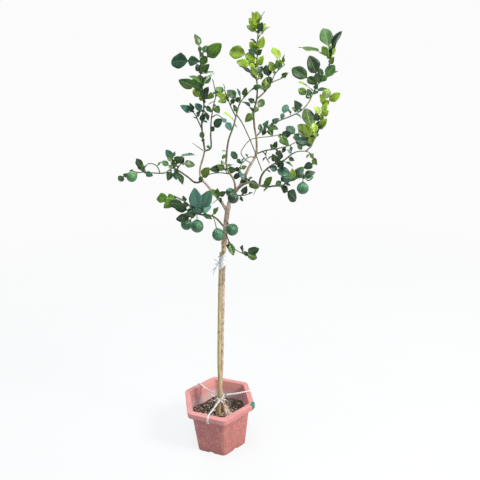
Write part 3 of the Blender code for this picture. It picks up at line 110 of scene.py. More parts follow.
# Leaves: half width as a share of the length, at places along the midrib
WINGED_OUTLINE = [(0.0, 0.10), (0.25, 0.64), (0.37, 0.09), (0.66, 1.0), (1.0, 0.12)]
PLAIN_OUTLINE = [(0.0, 0.12), (0.36, 1.0), (0.76, 0.76), (1.0, 0.10)]
SMALL_OUTLINE = [(0.0, 0.14), (0.50, 1.0), (1.0, 0.14)]
SMALL_LENGTH = 0.043
WINGED_HALF_WIDTH = 0.23
PLAIN_HALF_WIDTH = 0.31
WINGED_LENGTH = 0.050
LEAF_SEED = 11
LEAF_SPACE = 0.0062
OWN_LEAF_SPACE = 0.0031

# How leaves are drawn: degrees of lean, roll by kind and bend, share of width, and the shrink of each retry
LEAF_LEAN = 38
LEAF_ROLL = {"W": (-18, 30), "w": (-20, 46), "N": (58, 78), "n": (58, 80)}
WINGED_CURL = (12, 55)
PLAIN_CURL = (5, 45)
LEAF_WIDTH_RANGE = (0.9, 1.1)
LEAF_DRAWS = 60
LEAF_SHRINK = 0.005
STEM_SPACE = 0.0045
FRUIT_SPACE = 0.0040
SPUR_LENGTH = 0.0035

STALK_RADIUS = 0.0014
THORN_RADIUS = 0.0016

# Bindings: the knot at the foot, the graft tape, and the ties from the foot over the lip. A tie is its node
# name, its direction in the plan in degrees, where it starts in mm and how far it hangs in mm.
KNOT_LOW, KNOT_HIGH = 0.1755, 0.1835
KNOT_TURNS = 2.1
WRAP_LOW, WRAP_HIGH = 0.683, 0.735
WRAP_TURNS = 4.5
WRAP_TILT = 0.003
TIES = [
    ("tie_left", 132.0, (-9, 14, 181), 3),
    ("tie_right", 15.0, (27, 8, 181), 2),
    ("tie_front", -106.2, (2, -27, 181), 2),
]
TIE_STRANDS_APART = 0.0024
TIE_START_APART = 0.0040
TIE_LIFT = 0.0006
TIE_TURN_UNDER = 0.0015
TIE_HOOK = 0.004

# Stem: its foot in mm below the first sheet point of the trunk, its radii, and the swelling of the graft
STEM_FOOT = [(18, 4, 58), (17, 5, 112), (16, 7, 140)]
STEM_FOOT_RADII = [6.0, 8.8, 7.6]
GRAFT_HEIGHT = 0.772
GRAFT_LENGTH = 0.018
GRAFT_SWELL = 0.0018

# Wood: route name, radius at its start and end in mm, and its sheet points
LIMBS = [
    ("trunk", 7.2, 8, [
        (221.8, 398, 8), (221.6, 360, 8), (221.8, 331, 8), (222.4, 305, 8), (222.6, 285, 8),
        (223.3, 262, 4), (223.9, 247, 0), (225, 235, 0), (226.2, 220, 0), (228.3, 206, 0),
    ]),
    ("leader", 6.5, 2.6, [
        (228.3, 206, 0), (230.5, 199, 0), (241, 184, 10), (249, 167.5, 15), (255.5, 156, 20),
        (256.5, 140, 20), (254.4, 127, 16),
    ]),
    ("limb_left", 5, 2.6, [
        (226.5, 211, 0), (222, 203, 6), (214.4, 194, 20), (206.1, 184, 35), (200.6, 177, 45),
        (200, 172, 52), (204.2, 152.6, 72), (204.6, 149, 75),
    ]),
    ("limb_centre", 4, 2.6, [
        (229, 203, -2), (234.5, 192, -20), (235.2, 186, -30), (232.3, 177.2, -40), (228.8, 172.3, -45),
        (226, 163.5, -50),
    ]),
    ("limb_right", 4, 3, [
        (234.5, 193.5, 2), (240, 187, -10), (249, 182.5, -30), (259.2, 185.5, -60),
    ]),
]

# Shoots: node name, the node it grows from, radius at its start and end in mm, and its stems. A stem is
# its route and its leaves, each leaf the sheet points of its foot and its tip, and its kind.
SHOOTS = [
    ("leader_top", "trunk", 3.1, 1.3, [
        ([
            (254.4, 127, 16), (253.6, 113, 10), (256.5, 100, 5), (257.3, 86, 0), (255.8, 72, 0),
            (257.3, 54.7, -4), (257.6, 40, -6), (258.2, 28, -8),
        ], [
            (257.9, 26, 257.8, 8.2, "Wy"), (257.9, 27, 251.5, 13.5, "wy"), (258, 28, 246.5, 16, "wy"),
            (258, 33, 246.5, 25, "wy"), (258, 33, 262, 23, "wt"), (258, 29, 264.5, 12, "Ny"),
            (258, 34, 266, 21.5, "wy"), (257.8, 41, 269.5, 28, "Ny"), (257.5, 51, 263.5, 36.7, "wy"),
            (257.5, 46, 250, 39, "nt"), (257.3, 54, 250, 40.8, "wy"), (256.8, 59, 229.3, 49.5, "Wy"),
            (257, 54, 248, 50, "wt"), (257, 56, 262, 50, "wt"), (256, 68, 236.4, 62, "Wy"),
            (256.2, 66, 246, 57, "wy"), (256.5, 80, 239.5, 65, "Nt"), (256, 77, 251, 66, "wy"),
            (256.4, 67, 263, 56.5, "wy"), (256, 75, 262.8, 66, "wt"), (256.6, 80, 263, 73, "wg"),
            (253.7, 113, 241.5, 101.5, "Nt"), (253.7, 112, 245, 122, "wg"), (255.8, 103, 248, 98.8, "wt"),
            (253.8, 113, 264.5, 99.5, "wg"),
        ]),
        ([
            (256.7, 99, 5), (263.6, 93, 0), (271, 83, -6), (275, 74, -10), (284.9, 64.2, -18),
        ], [
            (281, 68, 272.5, 47.3, "Wy"), (275, 74, 270, 61, "wy"), (284.9, 64.5, 284.6, 54.3, "ny"),
            (270, 84, 266.3, 64.5, "Wt"), (264, 92, 268, 76.5, "wy"), (279, 70, 276, 60, "wg"),
            (267, 88, 258.5, 88, "wg"),
        ]),
        ([
            (271, 83, -6), (276, 80.5, -2), (280.3, 79, 0), (286, 74.5, 4),
        ], [
            (281, 78.5, 287, 72.5, "wg"), (282, 78, 289.6, 72, "ng"),
        ]),
    ]),
    ("centre_left", "trunk", 3, 1.4, [
        ([
            (226, 163.5, -50), (227, 150, -50), (228.6, 140, -48), (233.7, 125.6, -44),
            (236.2, 115.4, -40), (240.8, 101.6, -35), (246.4, 95, -32), (254.6, 86.5, -30),
        ], [
            (226.5, 154, 222, 159, "wg"), (226.8, 152, 222, 151, "ng"), (240, 103, 227.3, 90, "Wt"),
            (239, 105, 236.7, 89, "nt"), (236.6, 113, 233.3, 104.5, "wt"), (234.5, 122, 223.7, 113, "Ny"),
            (234, 124, 237, 127.5, "nt"), (244, 97.5, 246, 87.5, "wg"), (252, 89, 261, 85.5, "wg"),
        ]),
        ([
            (235.9, 117, -40), (231, 107, -34), (227.5, 98, -30), (224.5, 90, -28),
        ], [
            (226.5, 97, 216.5, 94, "wy"), (227.3, 99, 218, 102, "wg"), (228.5, 102, 221.5, 93, "wy"),
            (225, 91, 214, 89, "wg"), (230, 105, 234.5, 98, "wg"), (224.7, 90.5, 223.3, 84, "ng"),
        ]),
        ([
            (236.4, 114.4, -40), (241, 121, -34), (247.6, 134.3, -24), (252.6, 145.9, -12),
            (256.9, 157.5, -4), (261.9, 170.8, 0),
        ], []),
    ]),
    ("left_column", "trunk", 3, 1.4, [
        ([
            (204.6, 149, 75), (203.4, 141, 78), (202, 130, 82), (202, 118, 84), (203.8, 108, 84),
            (203.3, 95, 80), (202, 85, 76), (200.6, 73, 72), (200.3, 61, 68), (199.8, 53, 66),
        ], [
            (199.8, 53, 194.8, 34, "wg"), (200.1, 57, 208, 45.5, "Wg"), (200.3, 61.5, 168.8, 60, "Wt"),
            (200.4, 64, 222, 45.3, "Wg"), (200.6, 73, 210, 65, "wg"), (200.8, 74, 196, 63.3, "wt"),
            (200.6, 72, 203.5, 62.5, "wg"), (202.2, 88, 215.4, 74, "Ny"), (202, 86, 210.6, 76.3, "wg"),
            (202.2, 87, 190.4, 79.8, "wg"), (202.4, 89, 180.4, 81, "Wg"), (201.9, 84, 190, 77, "ng"),
            (202.2, 87, 199.8, 101, "wt"), (203.2, 95, 209, 87, "wg"), (203.8, 104, 207.5, 91.5, "Wt"),
            (203.7, 101, 192.8, 89.5, "Wy"), (202.5, 88, 198, 74, "wt"), (203.8, 106, 211.8, 112, "wg"),
            (203.2, 112, 194.8, 103.5, "wt"), (202, 124, 203, 113.5, "wt"),
            (202, 121, 208.7, 122.8, "nt"), (203.5, 110, 208.3, 121, "nt"),
            (203.7, 143, 201.3, 132, "Wg"), (200.7, 74, 213.5, 71.3, "nt"),
        ]),
        ([
            (201.9, 129, 82), (198.2, 121, 88), (194.8, 114, 94), (191.8, 110.8, 98),
        ], [
            (192.2, 111, 181, 105.5, "wt"), (194, 113, 190, 103, "wt"), (193, 112, 185.5, 113, "nt"),
            (196.5, 117.5, 201.5, 110.5, "wt"), (197.5, 119.5, 192.2, 117, "nt"),
        ]),
    ]),
    ("left_inner", "trunk", 2.8, 1.3, [
        ([
            (204.6, 151, 73), (209.6, 149.4, 63), (210.7, 135, 60), (211, 123.6, 60), (211.6, 117, 58),
            (213.3, 106, 54), (215.6, 96, 50), (214, 85, 48), (212.6, 79, 46),
        ], [
            (211, 131.5, 222.5, 118.6, "wt"), (213.6, 104, 219.3, 113.5, "wg"),
            (215.4, 97, 222.5, 87, "wt"), (215, 92, 207, 99, "wg"), (213.4, 80, 216, 72, "ny"),
            (214.2, 101, 208.5, 104.5, "ng"),
        ]),
        ([
            (211.6, 117.5, 58), (216.8, 114.8, 50), (223, 118.3, 44),
        ], [
            (222.6, 118, 232, 130.5, "Wt"),
        ]),
    ]),
    ("left_reach", "trunk", 3.1, 1.4, [
        ([
            (203.6, 181, 39), (196.5, 182.6, 28), (187.5, 176.7, 6), (178.9, 171, -16), (173, 168, -32),
            (165, 172.8, -50), (157, 173.2, -66), (150, 172.6, -78), (143.9, 172, -88), (139, 172.5, -90),
            (133, 171.6, -72), (127, 173.6, -68),
        ], [
            (127, 173.6, 116.6, 181.3, "Wg"), (129, 173, 134, 169.6, "ng"),
            (199.5, 182.3, 210.2, 166, "Wy"), (144, 171.5, 137.5, 158, "Wt"),
            (144.5, 172, 136, 163, "wg"), (144, 172, 152.8, 176, "wt"), (146, 172.3, 131.8, 160.5, "Nt"),
            (171, 169, 168, 180.5, "wt"), (174.5, 168.8, 176, 180.5, "wt"),
            (176, 169.5, 183.7, 183, "nt"), (172.5, 168.3, 161.8, 161.5, "Wg"),
        ]),
        ([
            (174.5, 168.5, -28), (173.2, 163, -34), (172.4, 157.5, -38),
        ], [
            (172.4, 158, 166, 149.5, "wt"), (172.5, 158, 175, 150.5, "wt"),
            (173, 161, 184.3, 156.8, "wg"), (173, 162, 194.2, 156.5, "Nt"),
            (173.2, 163, 166.5, 156.5, "wg"),
        ]),
        ([
            (177, 170, -22), (179, 166, -30), (181.5, 163, -34),
        ], [
            (181, 163.5, 194.5, 166, "wg"), (180.5, 164, 184.5, 157, "wt"), (178.5, 167, 171, 162, "wg"),
        ]),
        ([
            (160, 173, -60), (157.5, 167, -70), (153.6, 164, -78), (147.9, 163.6, -86),
        ], [
            (148.5, 163.6, 144.6, 168.5, "nt"), (157, 166.5, 163, 161.5, "ng"),
        ]),
    ]),
    ("lower_rosette", "trunk", 3.1, 2.3, [
        ([
            (224.2, 227, -2), (217.5, 219.5, -26), (212, 216, -48), (204.5, 215.3, -74),
            (196, 213.5, -100),
        ], [
            (197, 213, 196.3, 184.3, "Wt"), (198, 213, 211, 188.3, "Wt"), (198.5, 213.5, 211, 207, "wt"),
            (196.5, 214, 173.2, 206.5, "Wt"), (196.5, 214.5, 177, 217.5, "Wt"),
            (199, 214, 212.3, 219.5, "nt"), (196, 214, 189, 205.5, "wt"), (197, 213.5, 202.8, 204, "wt"),
            (196, 213.6, 185, 212, "wt"), (212, 216, 218.7, 207, "ng"),
        ]),
        ([
            (197, 213.2, -98), (190, 206, -108), (183, 200.5, -116), (174, 196, -124),
        ], [
            (189, 205.5, 170, 200.5, "wt"), (175, 196.5, 154.8, 201, "Wg"), (176, 197, 164, 207.8, "wg"),
            (186, 203, 183, 195.5, "wg"),
        ]),
    ]),
    ("low_twig", "trunk", 1.9, 1.3, [
        ([
            (225.6, 232, -2), (229, 241.5, -26), (233.5, 248, -40), (244.3, 254.4, -58),
        ], [
            (243.5, 254, 258.5, 244.6, "wt"), (243.8, 254, 257.4, 260.6, "wg"),
            (243, 253.5, 242.8, 242.6, "nt"), (229.5, 242.5, 233.5, 254, "wg"),
            (228.5, 241, 230, 250.5, "wt"),
        ]),
    ]),
    ("inner_twig", "trunk", 1.7, 1.3, [
        ([
            (230, 174, -43), (221, 172.8, -22), (213, 173.4, 0), (205.5, 175.8, 22),
        ], []),
        ([
            (227.5, 173.3, -38), (224.5, 169, -36), (223, 167, -34),
        ], [
            (223.5, 167.5, 209.8, 168, "wt"), (224.5, 168.8, 236.5, 171, "wt"),
            (224, 168, 234.5, 165.5, "nt"), (223.2, 167.2, 221, 160.5, "wg"),
            (225, 169.7, 216, 163.5, "wg"),
        ]),
    ]),
    ("centre_twig", "trunk", 1.7, 1.3, [
        ([
            (255, 157, 20), (249.5, 157, 6), (245, 160.5, -4), (241.2, 164.5, -12), (240, 172, -18),
        ], [
            (248.4, 157.9, 245, 153.6, "ng"), (241.3, 164, 231.3, 152.3, "Wt"),
            (240.7, 167, 234.2, 171.5, "wt"), (240.2, 171, 243.8, 180, "wt"),
            (240.2, 171, 234, 180, "wt"), (241, 165.5, 244.5, 157.5, "nt"), (240.5, 169, 247, 166, "wg"),
        ]),
    ]),
    ("arc_twig", "trunk", 1.4, 1.2, [
        ([
            (251, 163.5, 16), (244, 158, -22), (241, 153, -26), (244.5, 146, -26), (250, 140, -22),
            (259.2, 137.6, -14), (269, 136.6, -20), (279, 135, -26),
        ], [
            (278.5, 135, 288, 145.3, "wg"), (278.8, 135, 291.8, 134, "wt"), (272, 136, 268, 130, "ng"),
        ]),
    ]),
    ("right_upper", "trunk", 2.4, 1.3, [
        ([
            (256, 136.5, 19), (262, 130.5, 30), (272, 124, 46), (282, 119.5, 60), (292, 115.6, 72),
            (302, 110, 80), (309.5, 101, 86), (314, 91, 90), (319, 83.5, 92), (327, 77.5, 94),
        ], [
            (260, 132.5, 260.3, 124, "wt"), (271, 124.8, 279.5, 118.5, "wt"),
            (267, 127.5, 277.8, 129, "wg"), (266, 128, 262.5, 135.5, "wt"), (268, 127, 272.5, 136, "wg"),
            (264, 129.5, 268.5, 120.5, "wt"), (281, 120, 288, 104.5, "Wt"),
            (291, 116, 286.5, 106.5, "nt"), (301, 110.5, 293, 100.5, "wt"),
            (299, 112, 291.5, 107.5, "wg"), (295, 114.5, 303, 118.5, "nt"),
            (310.5, 99, 299.2, 88.5, "Wg"), (313.5, 92, 296.3, 83.3, "Ny"),
            (311, 97.5, 308.2, 86.5, "wt"), (314, 90.5, 317.3, 83.8, "wt"), (312, 96, 305, 96, "wt"),
            (318, 85, 294.3, 66.5, "Wg"), (319, 83.5, 308, 56.5, "Wt"), (319.5, 83, 321, 67.5, "Wt"),
            (321, 82, 334, 65.5, "Wg"), (325.5, 78.5, 340.2, 70.3, "ng"), (312.5, 95, 329.2, 87.8, "Nt"),
        ]),
        ([
            (322, 81.2, 92), (326, 72.5, 88), (329, 65, 84), (330.8, 57.5, 82),
        ], [
            (330.5, 58, 325.3, 26.5, "Wg"), (330.7, 58, 334, 42.8, "wy"), (330.6, 58, 338.3, 34, "Nt"),
            (330.6, 58, 301, 45, "Ny"), (328.8, 66, 333.2, 57, "wy"), (330.4, 59.5, 319.5, 45, "wg"),
        ]),
    ]),
    ("right_middle", "trunk", 2.4, 1.3, [
        ([
            (255.6, 154, 20), (265.3, 150.6, 40), (274.5, 149, 56), (288.8, 145.5, 76), (294.4, 143, 84),
            (299, 140.4, 90), (305.5, 138, 96),
        ], [
            (274.5, 149, 276.8, 141, "wg"), (273.5, 149, 269.8, 143.5, "wt"),
            (276, 149, 281.5, 156.5, "wt"), (286, 146.3, 282.5, 153, "wt"), (290, 145, 291, 152.5, "wt"),
            (296, 142.3, 303, 150, "wt"), (300, 140, 287.8, 126.8, "Wt"),
            (302.5, 139.3, 301, 126.5, "wg"), (304.8, 138.3, 310.4, 147, "wt"),
            (304, 138.6, 308.5, 130, "wt"), (305, 138.3, 316.2, 138, "wt"), (298, 141, 292, 136.5, "wg"),
        ]),
        ([
            (266.8, 150.4, 42), (265.8, 155.7, 30), (267.9, 160.8, 18), (269.5, 163, 10),
        ], [
            (266, 156, 262, 151.5, "nt"), (267.5, 160, 272, 156, "nt"), (266.3, 157, 262.8, 161.5, "nt"),
        ]),
    ]),
    ("right_lower", "trunk", 3.4, 1.4, [
        ([
            (259.2, 185.5, -60), (261, 177, -66), (263.5, 172.5, -70), (269.9, 166.6, -78),
            (276, 163, -84), (283.6, 160.5, -92), (289.4, 156, -96), (296, 152, -100), (305.6, 151, -100),
        ], [
            (269, 167.2, 290, 174.2, "Wt"), (277, 162.7, 272, 153.5, "wt"),
            (279, 162, 279.5, 150.5, "wt"), (275, 163.5, 284, 166, "wt"), (283, 160.7, 292, 166.2, "ng"),
            (280, 161.6, 272.5, 160, "wg"), (266, 170, 271.5, 173.5, "nt"), (288, 157, 294, 160.5, "wt"),
            (292, 154.3, 287, 149.5, "wt"), (284, 160.3, 279.5, 168, "wt"),
        ]),
        ([
            (304.5, 151, -100), (309, 152.3, -102), (313, 157.5, -104), (315, 163, -106),
        ], [
            (309.5, 152.8, 314, 158.5, "wy"), (312.5, 157, 316.2, 164.5, "wy"),
            (314.8, 162.5, 304.3, 168.8, "wg"), (310, 153.3, 306, 158, "ng"),
        ]),
    ]),
    ("right_column", "right_lower", 2.2, 1.3, [
        ([
            (306, 151, -100), (311, 146.3, -92), (313, 142, -84), (316.3, 136, -70), (318.4, 128.7, -55),
            (321.4, 119.5, -38), (322, 112, -26), (323, 103, -14),
        ], [
            (314.5, 139.5, 314.8, 123.3, "Wy"), (312, 144.5, 303.5, 124, "Wy"),
            (314, 140, 308.7, 108.5, "Wg"), (317, 133.5, 321.8, 121, "wt"), (313, 142, 306.5, 131, "wt"),
            (315.5, 137.5, 320, 133, "wt"), (322, 115, 313, 106.5, "wy"), (322, 113, 327.2, 102.5, "wy"),
            (321, 121.5, 320.5, 112.5, "wy"), (319.5, 125, 313.5, 112.5, "Wt"),
            (322.6, 106, 329.7, 88.3, "Wy"), (322.8, 105, 338.7, 93.3, "Wy"),
            (322.9, 104, 318.4, 94.3, "wy"), (318, 130, 324.5, 126, "wg"), (318.8, 128, 326, 117, "wy"),
            (312.5, 143.5, 296, 140, "wt"), (321.8, 117, 328.5, 110, "wy"),
            (316, 137, 295.3, 122.5, "Wy"), (322.9, 104, 323.5, 94, "wy"),
        ]),
    ]),
    ("low_right", "trunk", 2.9, 1.7, [
        ([
            (259.2, 185.5, -60), (266, 186.8, -74), (274, 186, -88), (281.3, 185.6, -100),
            (290, 181, -112), (298, 178, -120), (303, 177.5, -124),
        ], [
            (262, 186.5, 271.5, 182, "wg"), (264.5, 186.7, 271.8, 176, "wg"),
            (275, 185.8, 291.3, 175.5, "Wt"), (289, 181.5, 306.2, 176, "wt"),
            (302.5, 177.5, 314.8, 171.5, "wt"), (302.8, 177.5, 314.5, 178, "wt"),
            (294, 179.5, 304.3, 167.3, "wt"), (292, 180.2, 291.6, 167.6, "wy"),
            (280, 185.7, 297.6, 202.8, "Wt"), (284, 184.3, 291, 185.8, "nt"),
            (270, 186.5, 263.5, 191, "nt"), (284.5, 184, 289, 176.5, "wt"),
            (296, 178.7, 288, 173.5, "nt"),
        ]),
    ]),
    ("fork_sprig", "trunk", 1.6, 1.3, [
        ([
            (219.2, 199.5, 13), (217.5, 197.8, -4), (217.8, 196, -12),
        ], [
            (217.7, 197, 212, 189.5, "wg"), (217.8, 196.5, 225.8, 191.8, "wt"),
            (217.8, 196.8, 221.5, 203, "wt"), (217.6, 196, 217.8, 187.5, "wg"),
        ]),
    ]),
    ("right_fork_sprig", "trunk", 1.9, 1.4, [
        ([
            (231.8, 197.8, 1), (237, 195.6, -14), (242.5, 195.4, -28), (248, 194.6, -38),
        ], [
            (242, 195.4, 246.8, 185.6, "wt"), (247.5, 194.7, 253, 192.5, "nt"),
            (240, 195.6, 243, 201, "wt"),
        ]),
    ]),
    ("fork_leaves", "trunk", 1.8, 1.4, [
        ([
            (245.8, 175, 12), (246.5, 178, -4), (248, 180, -12),
        ], [
            (247.5, 179.5, 252.5, 177, "ng"), (247.8, 180, 259, 187.8, "wg"),
            (246.6, 178.4, 240, 182.5, "wt"), (247, 179, 243.5, 185, "wt"),
        ]),
    ]),
]

# Roots that show above the soil: from the stem's foot outwards and down, in mm
SURFACE_ROOTS = [
    [(17, 4, 138), (33, -6, 120), (46, -12, 108), (54, -15, 92)],
    [(17, 4, 134), (25, -12, 118), (30, -26, 107), (32, -34, 92)],
    [(17, 4, 132), (28, 20, 117), (36, 33, 106), (41, 40, 92)],
    [(17, 4, 130), (3, 18, 116), (-8, 28, 106), (-14, 34, 92)],
]
SURFACE_ROOT_RADIUS = (0.0058, 0.0030)

# Thorns on the wood: the sheet points of foot and tip
THORNS = [
    [(218.4, 198.5, 13), (212, 204, 16)],
    [(257.6, 185.9, -55), (253.3, 195, -65)],
    [(203, 150.5, 74), (192.3, 143, 90)],
]

# Fruits: node name, the node that bears it, the sheet points of its middle and its stalk's foot, and its
# radius in mm
FRUITS = [
    ("fruit_left_tip", "left_reach", (131.7, 176.8, -96), (139, 172.5, -90), 16),
    ("fruit_rosette_left", "lower_rosette", (186.6, 224.5, -86), (196.5, 213.6, -97), 18),
    ("fruit_rosette_right", "lower_rosette", (197.2, 226.3, -124), (197, 213.5, -98), 20),
    ("fruit_stem_left", "lower_rosette", (218.3, 234.7, -52), (213, 216.6, -44), 20.5),
    ("fruit_stem_right", "trunk", (232.3, 229.7, -30), (226, 221, -2), 20),
    ("fruit_fork_front", "trunk", (233.2, 198, -46), (235, 189, -26), 18),
    ("fruit_fork_back", "trunk", (230, 192.2, 25), (238.6, 187.6, 8), 15),
    ("fruit_right", "low_right", (302.7, 188.3, -128), (303, 177.5, -124), 18),
    ("fruitlet", "left_inner", (208.2, 146.6, 48), (209.6, 149.2, 63), 5.5),
]


def millimetres(points):
    return [Vector(p) * MM for p in points]


def placed(across, down, depth):
    """The point that shows at a place on the sheet, at a depth in mm."""
    a, b = across - SHEET_MIDDLE, down - SHEET_MIDDLE
    cosine, sine = math.cos(EYE_ROLL), math.sin(EYE_ROLL)
    right, up = (a * cosine + b * sine) / SHEET_SCALE, (a * sine - b * cosine) / SHEET_SCALE
    ahead = math.cos(EYE_PITCH) + up * math.sin(EYE_PITCH)
    rise = up * math.cos(EYE_PITCH) - math.sin(EYE_PITCH)
    reach = (depth * MM - EYE.y) / ahead
    return Vector((EYE.x + right * reach, depth * MM, EYE.z + rise * reach))


def sheet(point):
    """The place on the sheet where a point shows."""
    away = point - EYE
    ahead = away.y * math.cos(EYE_PITCH) - away.z * math.sin(EYE_PITCH)
    up = (away.y * math.sin(EYE_PITCH) + away.z * math.cos(EYE_PITCH)) / ahead * SHEET_SCALE
    right = away.x / ahead * SHEET_SCALE
    cosine, sine = math.cos(EYE_ROLL), math.sin(EYE_ROLL)
    return Vector((SHEET_MIDDLE + right * cosine + up * sine, SHEET_MIDDLE + right * sine - up * cosine))


def lengths_along(points):
    steps = [0.0]
    for a, b in zip(points, points[1:]):
        steps.append(steps[-1] + (b - a).length)
    return steps


def tapered(points, start, end):
    """Radii that fall evenly with the length along a route."""
    steps = lengths_along(points)
    return [start + (end - start) * s / steps[-1] for s in steps]


def nearest_on_sheet(points, mark):
    """The point of a route that shows nearest to a mark on the sheet, kept a little off the route's end."""
    best = (1e9, None)
    for a, b in zip(points, points[1:]):
        start, step = sheet(a), sheet(b) - sheet(a)
        t = max(0.0, min(1.0, (mark - start).dot(step) / step.length_squared))
        if b is points[-1]:
            t = min(t, 1 - 0.0025 / (b - a).length)
        miss = (mark - start - step * t).length
        if miss < best[0]:
            best = (miss, a.lerp(b, t))
    return best[1]


def leaf_frame(root, clock, tilt, roll, curl):
    """A leaf's own axes at its root: along it, across it and out of its upper face.

    The clock angle is measured in the plane seen from the front, 0 to the right and 90 upwards. The tilt
    leans the leaf away from the viewer. At a roll of 0 the upper face looks at the viewer, and it turns
    towards the sky as the roll grows. These hold at the leaf's middle, so that at the root it starts half
    of its curl higher.
    """
    along = Vector((math.cos(clock) * math.cos(tilt), math.sin(tilt), math.sin(clock) * math.cos(tilt)))
    face = Vector((0, -1, 0))
    face = (face - along * face.dot(along)).normalized()
    side = along.cross(face)
    if side.z < 0:
        side = -side
    normal = (face * math.cos(roll) + side * math.sin(roll)).normalized()
    across = along.cross(normal).normalized()
    start = along * math.cos(curl / 2) + normal * math.sin(curl / 2)
    return root, start, across, normal * math.cos(curl / 2) - along * math.sin(curl / 2)


def midrib(frame, length, curl, share):
    """A point of the midrib, and the blade's normal there: the leaf bends evenly towards its under face."""
    root, along, _, normal = frame
    angle = curl * share
    bend = curl if abs(curl) > 1e-6 else 1e-6
    forward = length * math.sin(angle) / bend
    down = length * (1 - math.cos(angle)) / bend
    place = root + along * forward - normal * down
    return place, (normal * math.cos(angle) + along * math.sin(angle)).normalized()


def leaf_samples(frame, length, half_width, curl, outline):
    """Points spread over the blade, which tell how near it comes to its neighbours."""
    shares = np.linspace(0.12, 1.0, 13)
    widths = np.interp(shares, [o[0] for o in outline], [o[1] for o in outline])
    points = []
    for share, width in zip(shares, widths):
        place, _ = midrib(frame, length, curl, share)
        for reach in (-1.0, -0.67, -0.33, 0.0, 0.33, 0.67, 1.0):
            points.append(place + frame[2] * (reach * width * half_width))
    return np.array(points)


class Crowd:
    """What a new leaf has to keep clear of: points with a radius, each belonging to a node."""

    def __init__(self):
        self.places = np.zeros((0, 3))
        self.radii = np.zeros(0)
        self.owners = np.zeros(0, int)
        self.kinds = np.zeros(0, int)

    def add(self, places, radius, owner, kind):
        places = np.array(places)
        self.places = np.vstack([self.places, places])
        self.radii = np.append(self.radii, np.broadcast_to(radius, len(places)))
        self.owners = np.append(self.owners, np.full(len(places), owner))
        self.kinds = np.append(self.kinds, np.full(len(places), kind))

    def room(self, samples, owner):
        """The least room left to other nodes, and to leaves of the same node."""
        middle = samples.mean(0)
        near = np.linalg.norm(self.places - middle, axis=1) < 0.11
        if not near.any():
            return 1.0, 1.0
        gaps = np.linalg.norm(samples[:, None] - self.places[near][None], axis=2).min(0) - self.radii[near]
        own = self.owners[near] == owner
        others = gaps[~own]
        leaves = gaps[own & (self.kinds[near] == 1)]
        return (others.min() if len(others) else 1.0), (leaves.min() if len(leaves) else 1.0)


def shoot_stems(shoot, parent_radius):
    """A shoot's own stems in metres, the first of them begun just off the spur that it grows from."""
    stems = [([placed(*point) for point in route], leaves) for route, leaves in shoot[4]]
    first = stems[0][0]
    out = (first[1] - first[0]).normalized()
    first[0] = first[0] + out * (parent_radius + SPUR_LENGTH + GAP)
    return stems


def nearest_radius(point, routes):
    """The radius of the wood or stem nearest to a point."""
    best = (1.0, 0.0)
    for points, radii in routes:
        for a, b, ra, rb in zip(points, points[1:], radii, radii[1:]):
            step = b - a
            t = max(0.0, min(1.0, (point - a).dot(step) / step.length_squared))
            best = min(best, ((point - a - step * t).length, ra + (rb - ra) * t))
    return best[1]


def dense(points, radii, step=0.003):
    """Points along a route, close together, with the route's radius at each."""
    places, sizes = [], []
    for a, b, ra, rb in zip(points, points[1:], radii, radii[1:]):
        count = max(1, int((b - a).length / step))
        for k in range(count + 1):
            places.append(a.lerp(b, k / count))
            sizes.append(ra + (rb - ra) * k / count)
    return places, np.array(sizes)


def grow():
    """Works out every route and leaf of the tree before anything is made."""
    routes = {"trunk": []}
    for _, start, end, route in LIMBS:
        points = [placed(*point) for point in route]
        routes["trunk"].append((points, tapered(points, start * MM, end * MM)))
    spurs = {"trunk": []}
    plan = {}
    for shoot in SHOOTS:
        name, parent, start, end, _ = shoot
        foot = placed(*shoot[4][0][0][0])
        radius = nearest_radius(foot, routes[parent])
        stems = shoot_stems(shoot, radius)
        toward = (stems[0][0][0] - foot).normalized()
        spurs.setdefault(parent, []).append((foot, foot + toward * (radius + SPUR_LENGTH), start * MM))
        spurs.setdefault(name, [])
        routes[name] = []
        for k, (points, _) in enumerate(stems):
            first = start * MM if k == 0 else nearest_radius(points[0], routes[name]) * 0.85
            routes[name].append((points, tapered(points, first, end * MM)))
        plan[name] = stems
    stalks = {}
    for name, parent, middle, foot, radius in FRUITS:
        centre, foot = placed(*middle), placed(*foot)
        down = (centre - foot).normalized()
        end = centre - down * (radius * MM + GAP)
        sag = foot.lerp(end, 0.5) + Vector((0, 0, 0.15 * (end - foot).length))
        stalks.setdefault(parent, []).append([foot, sag, end])
    return routes, spurs, plan, stalks


def set_leaves(routes, plan, stalks):
    """Gives each leaf its lean and roll, drawn again until it is clear of what grows round it."""
    crowd = Crowd()
    names = ["trunk"] + [shoot[0] for shoot in SHOOTS]
    for owner, name in enumerate(names):
        for points, radii in routes[name]:
            places, sizes = dense(points, radii)
            crowd.add(places, sizes + STEM_SPACE - LEAF_SPACE, owner, 0)
        for points in stalks.get(name, []):
            places, sizes = dense(points, [STALK_RADIUS] * len(points))
            crowd.add(places, sizes + STEM_SPACE - LEAF_SPACE, owner, 0)
    for k, fruit in enumerate(FRUITS):
        crowd.add([placed(*fruit[2])], fruit[4] * MM + FRUIT_SPACE - LEAF_SPACE, len(names) + k, 0)
    for thorn in THORNS:
        crowd.add(dense([placed(*point) for point in thorn], [THORN_RADIUS] * 2)[0], THORN_RADIUS, 0, 0)
    leaves = {}
    for owner, name in enumerate(names):
        leaves[name] = []
        for s, (points, rows) in enumerate(plan.get(name, [])):
            for k, row in enumerate(rows):
                leaf = settle(row, points, crowd, owner, "%s %d %d" % (name, s, k))
                if leaf is None:
                    continue
                leaves[name].append((leaf, row[4]))
                crowd.add(leaf_samples(*leaf), 0.0, owner, 1)
    return leaves


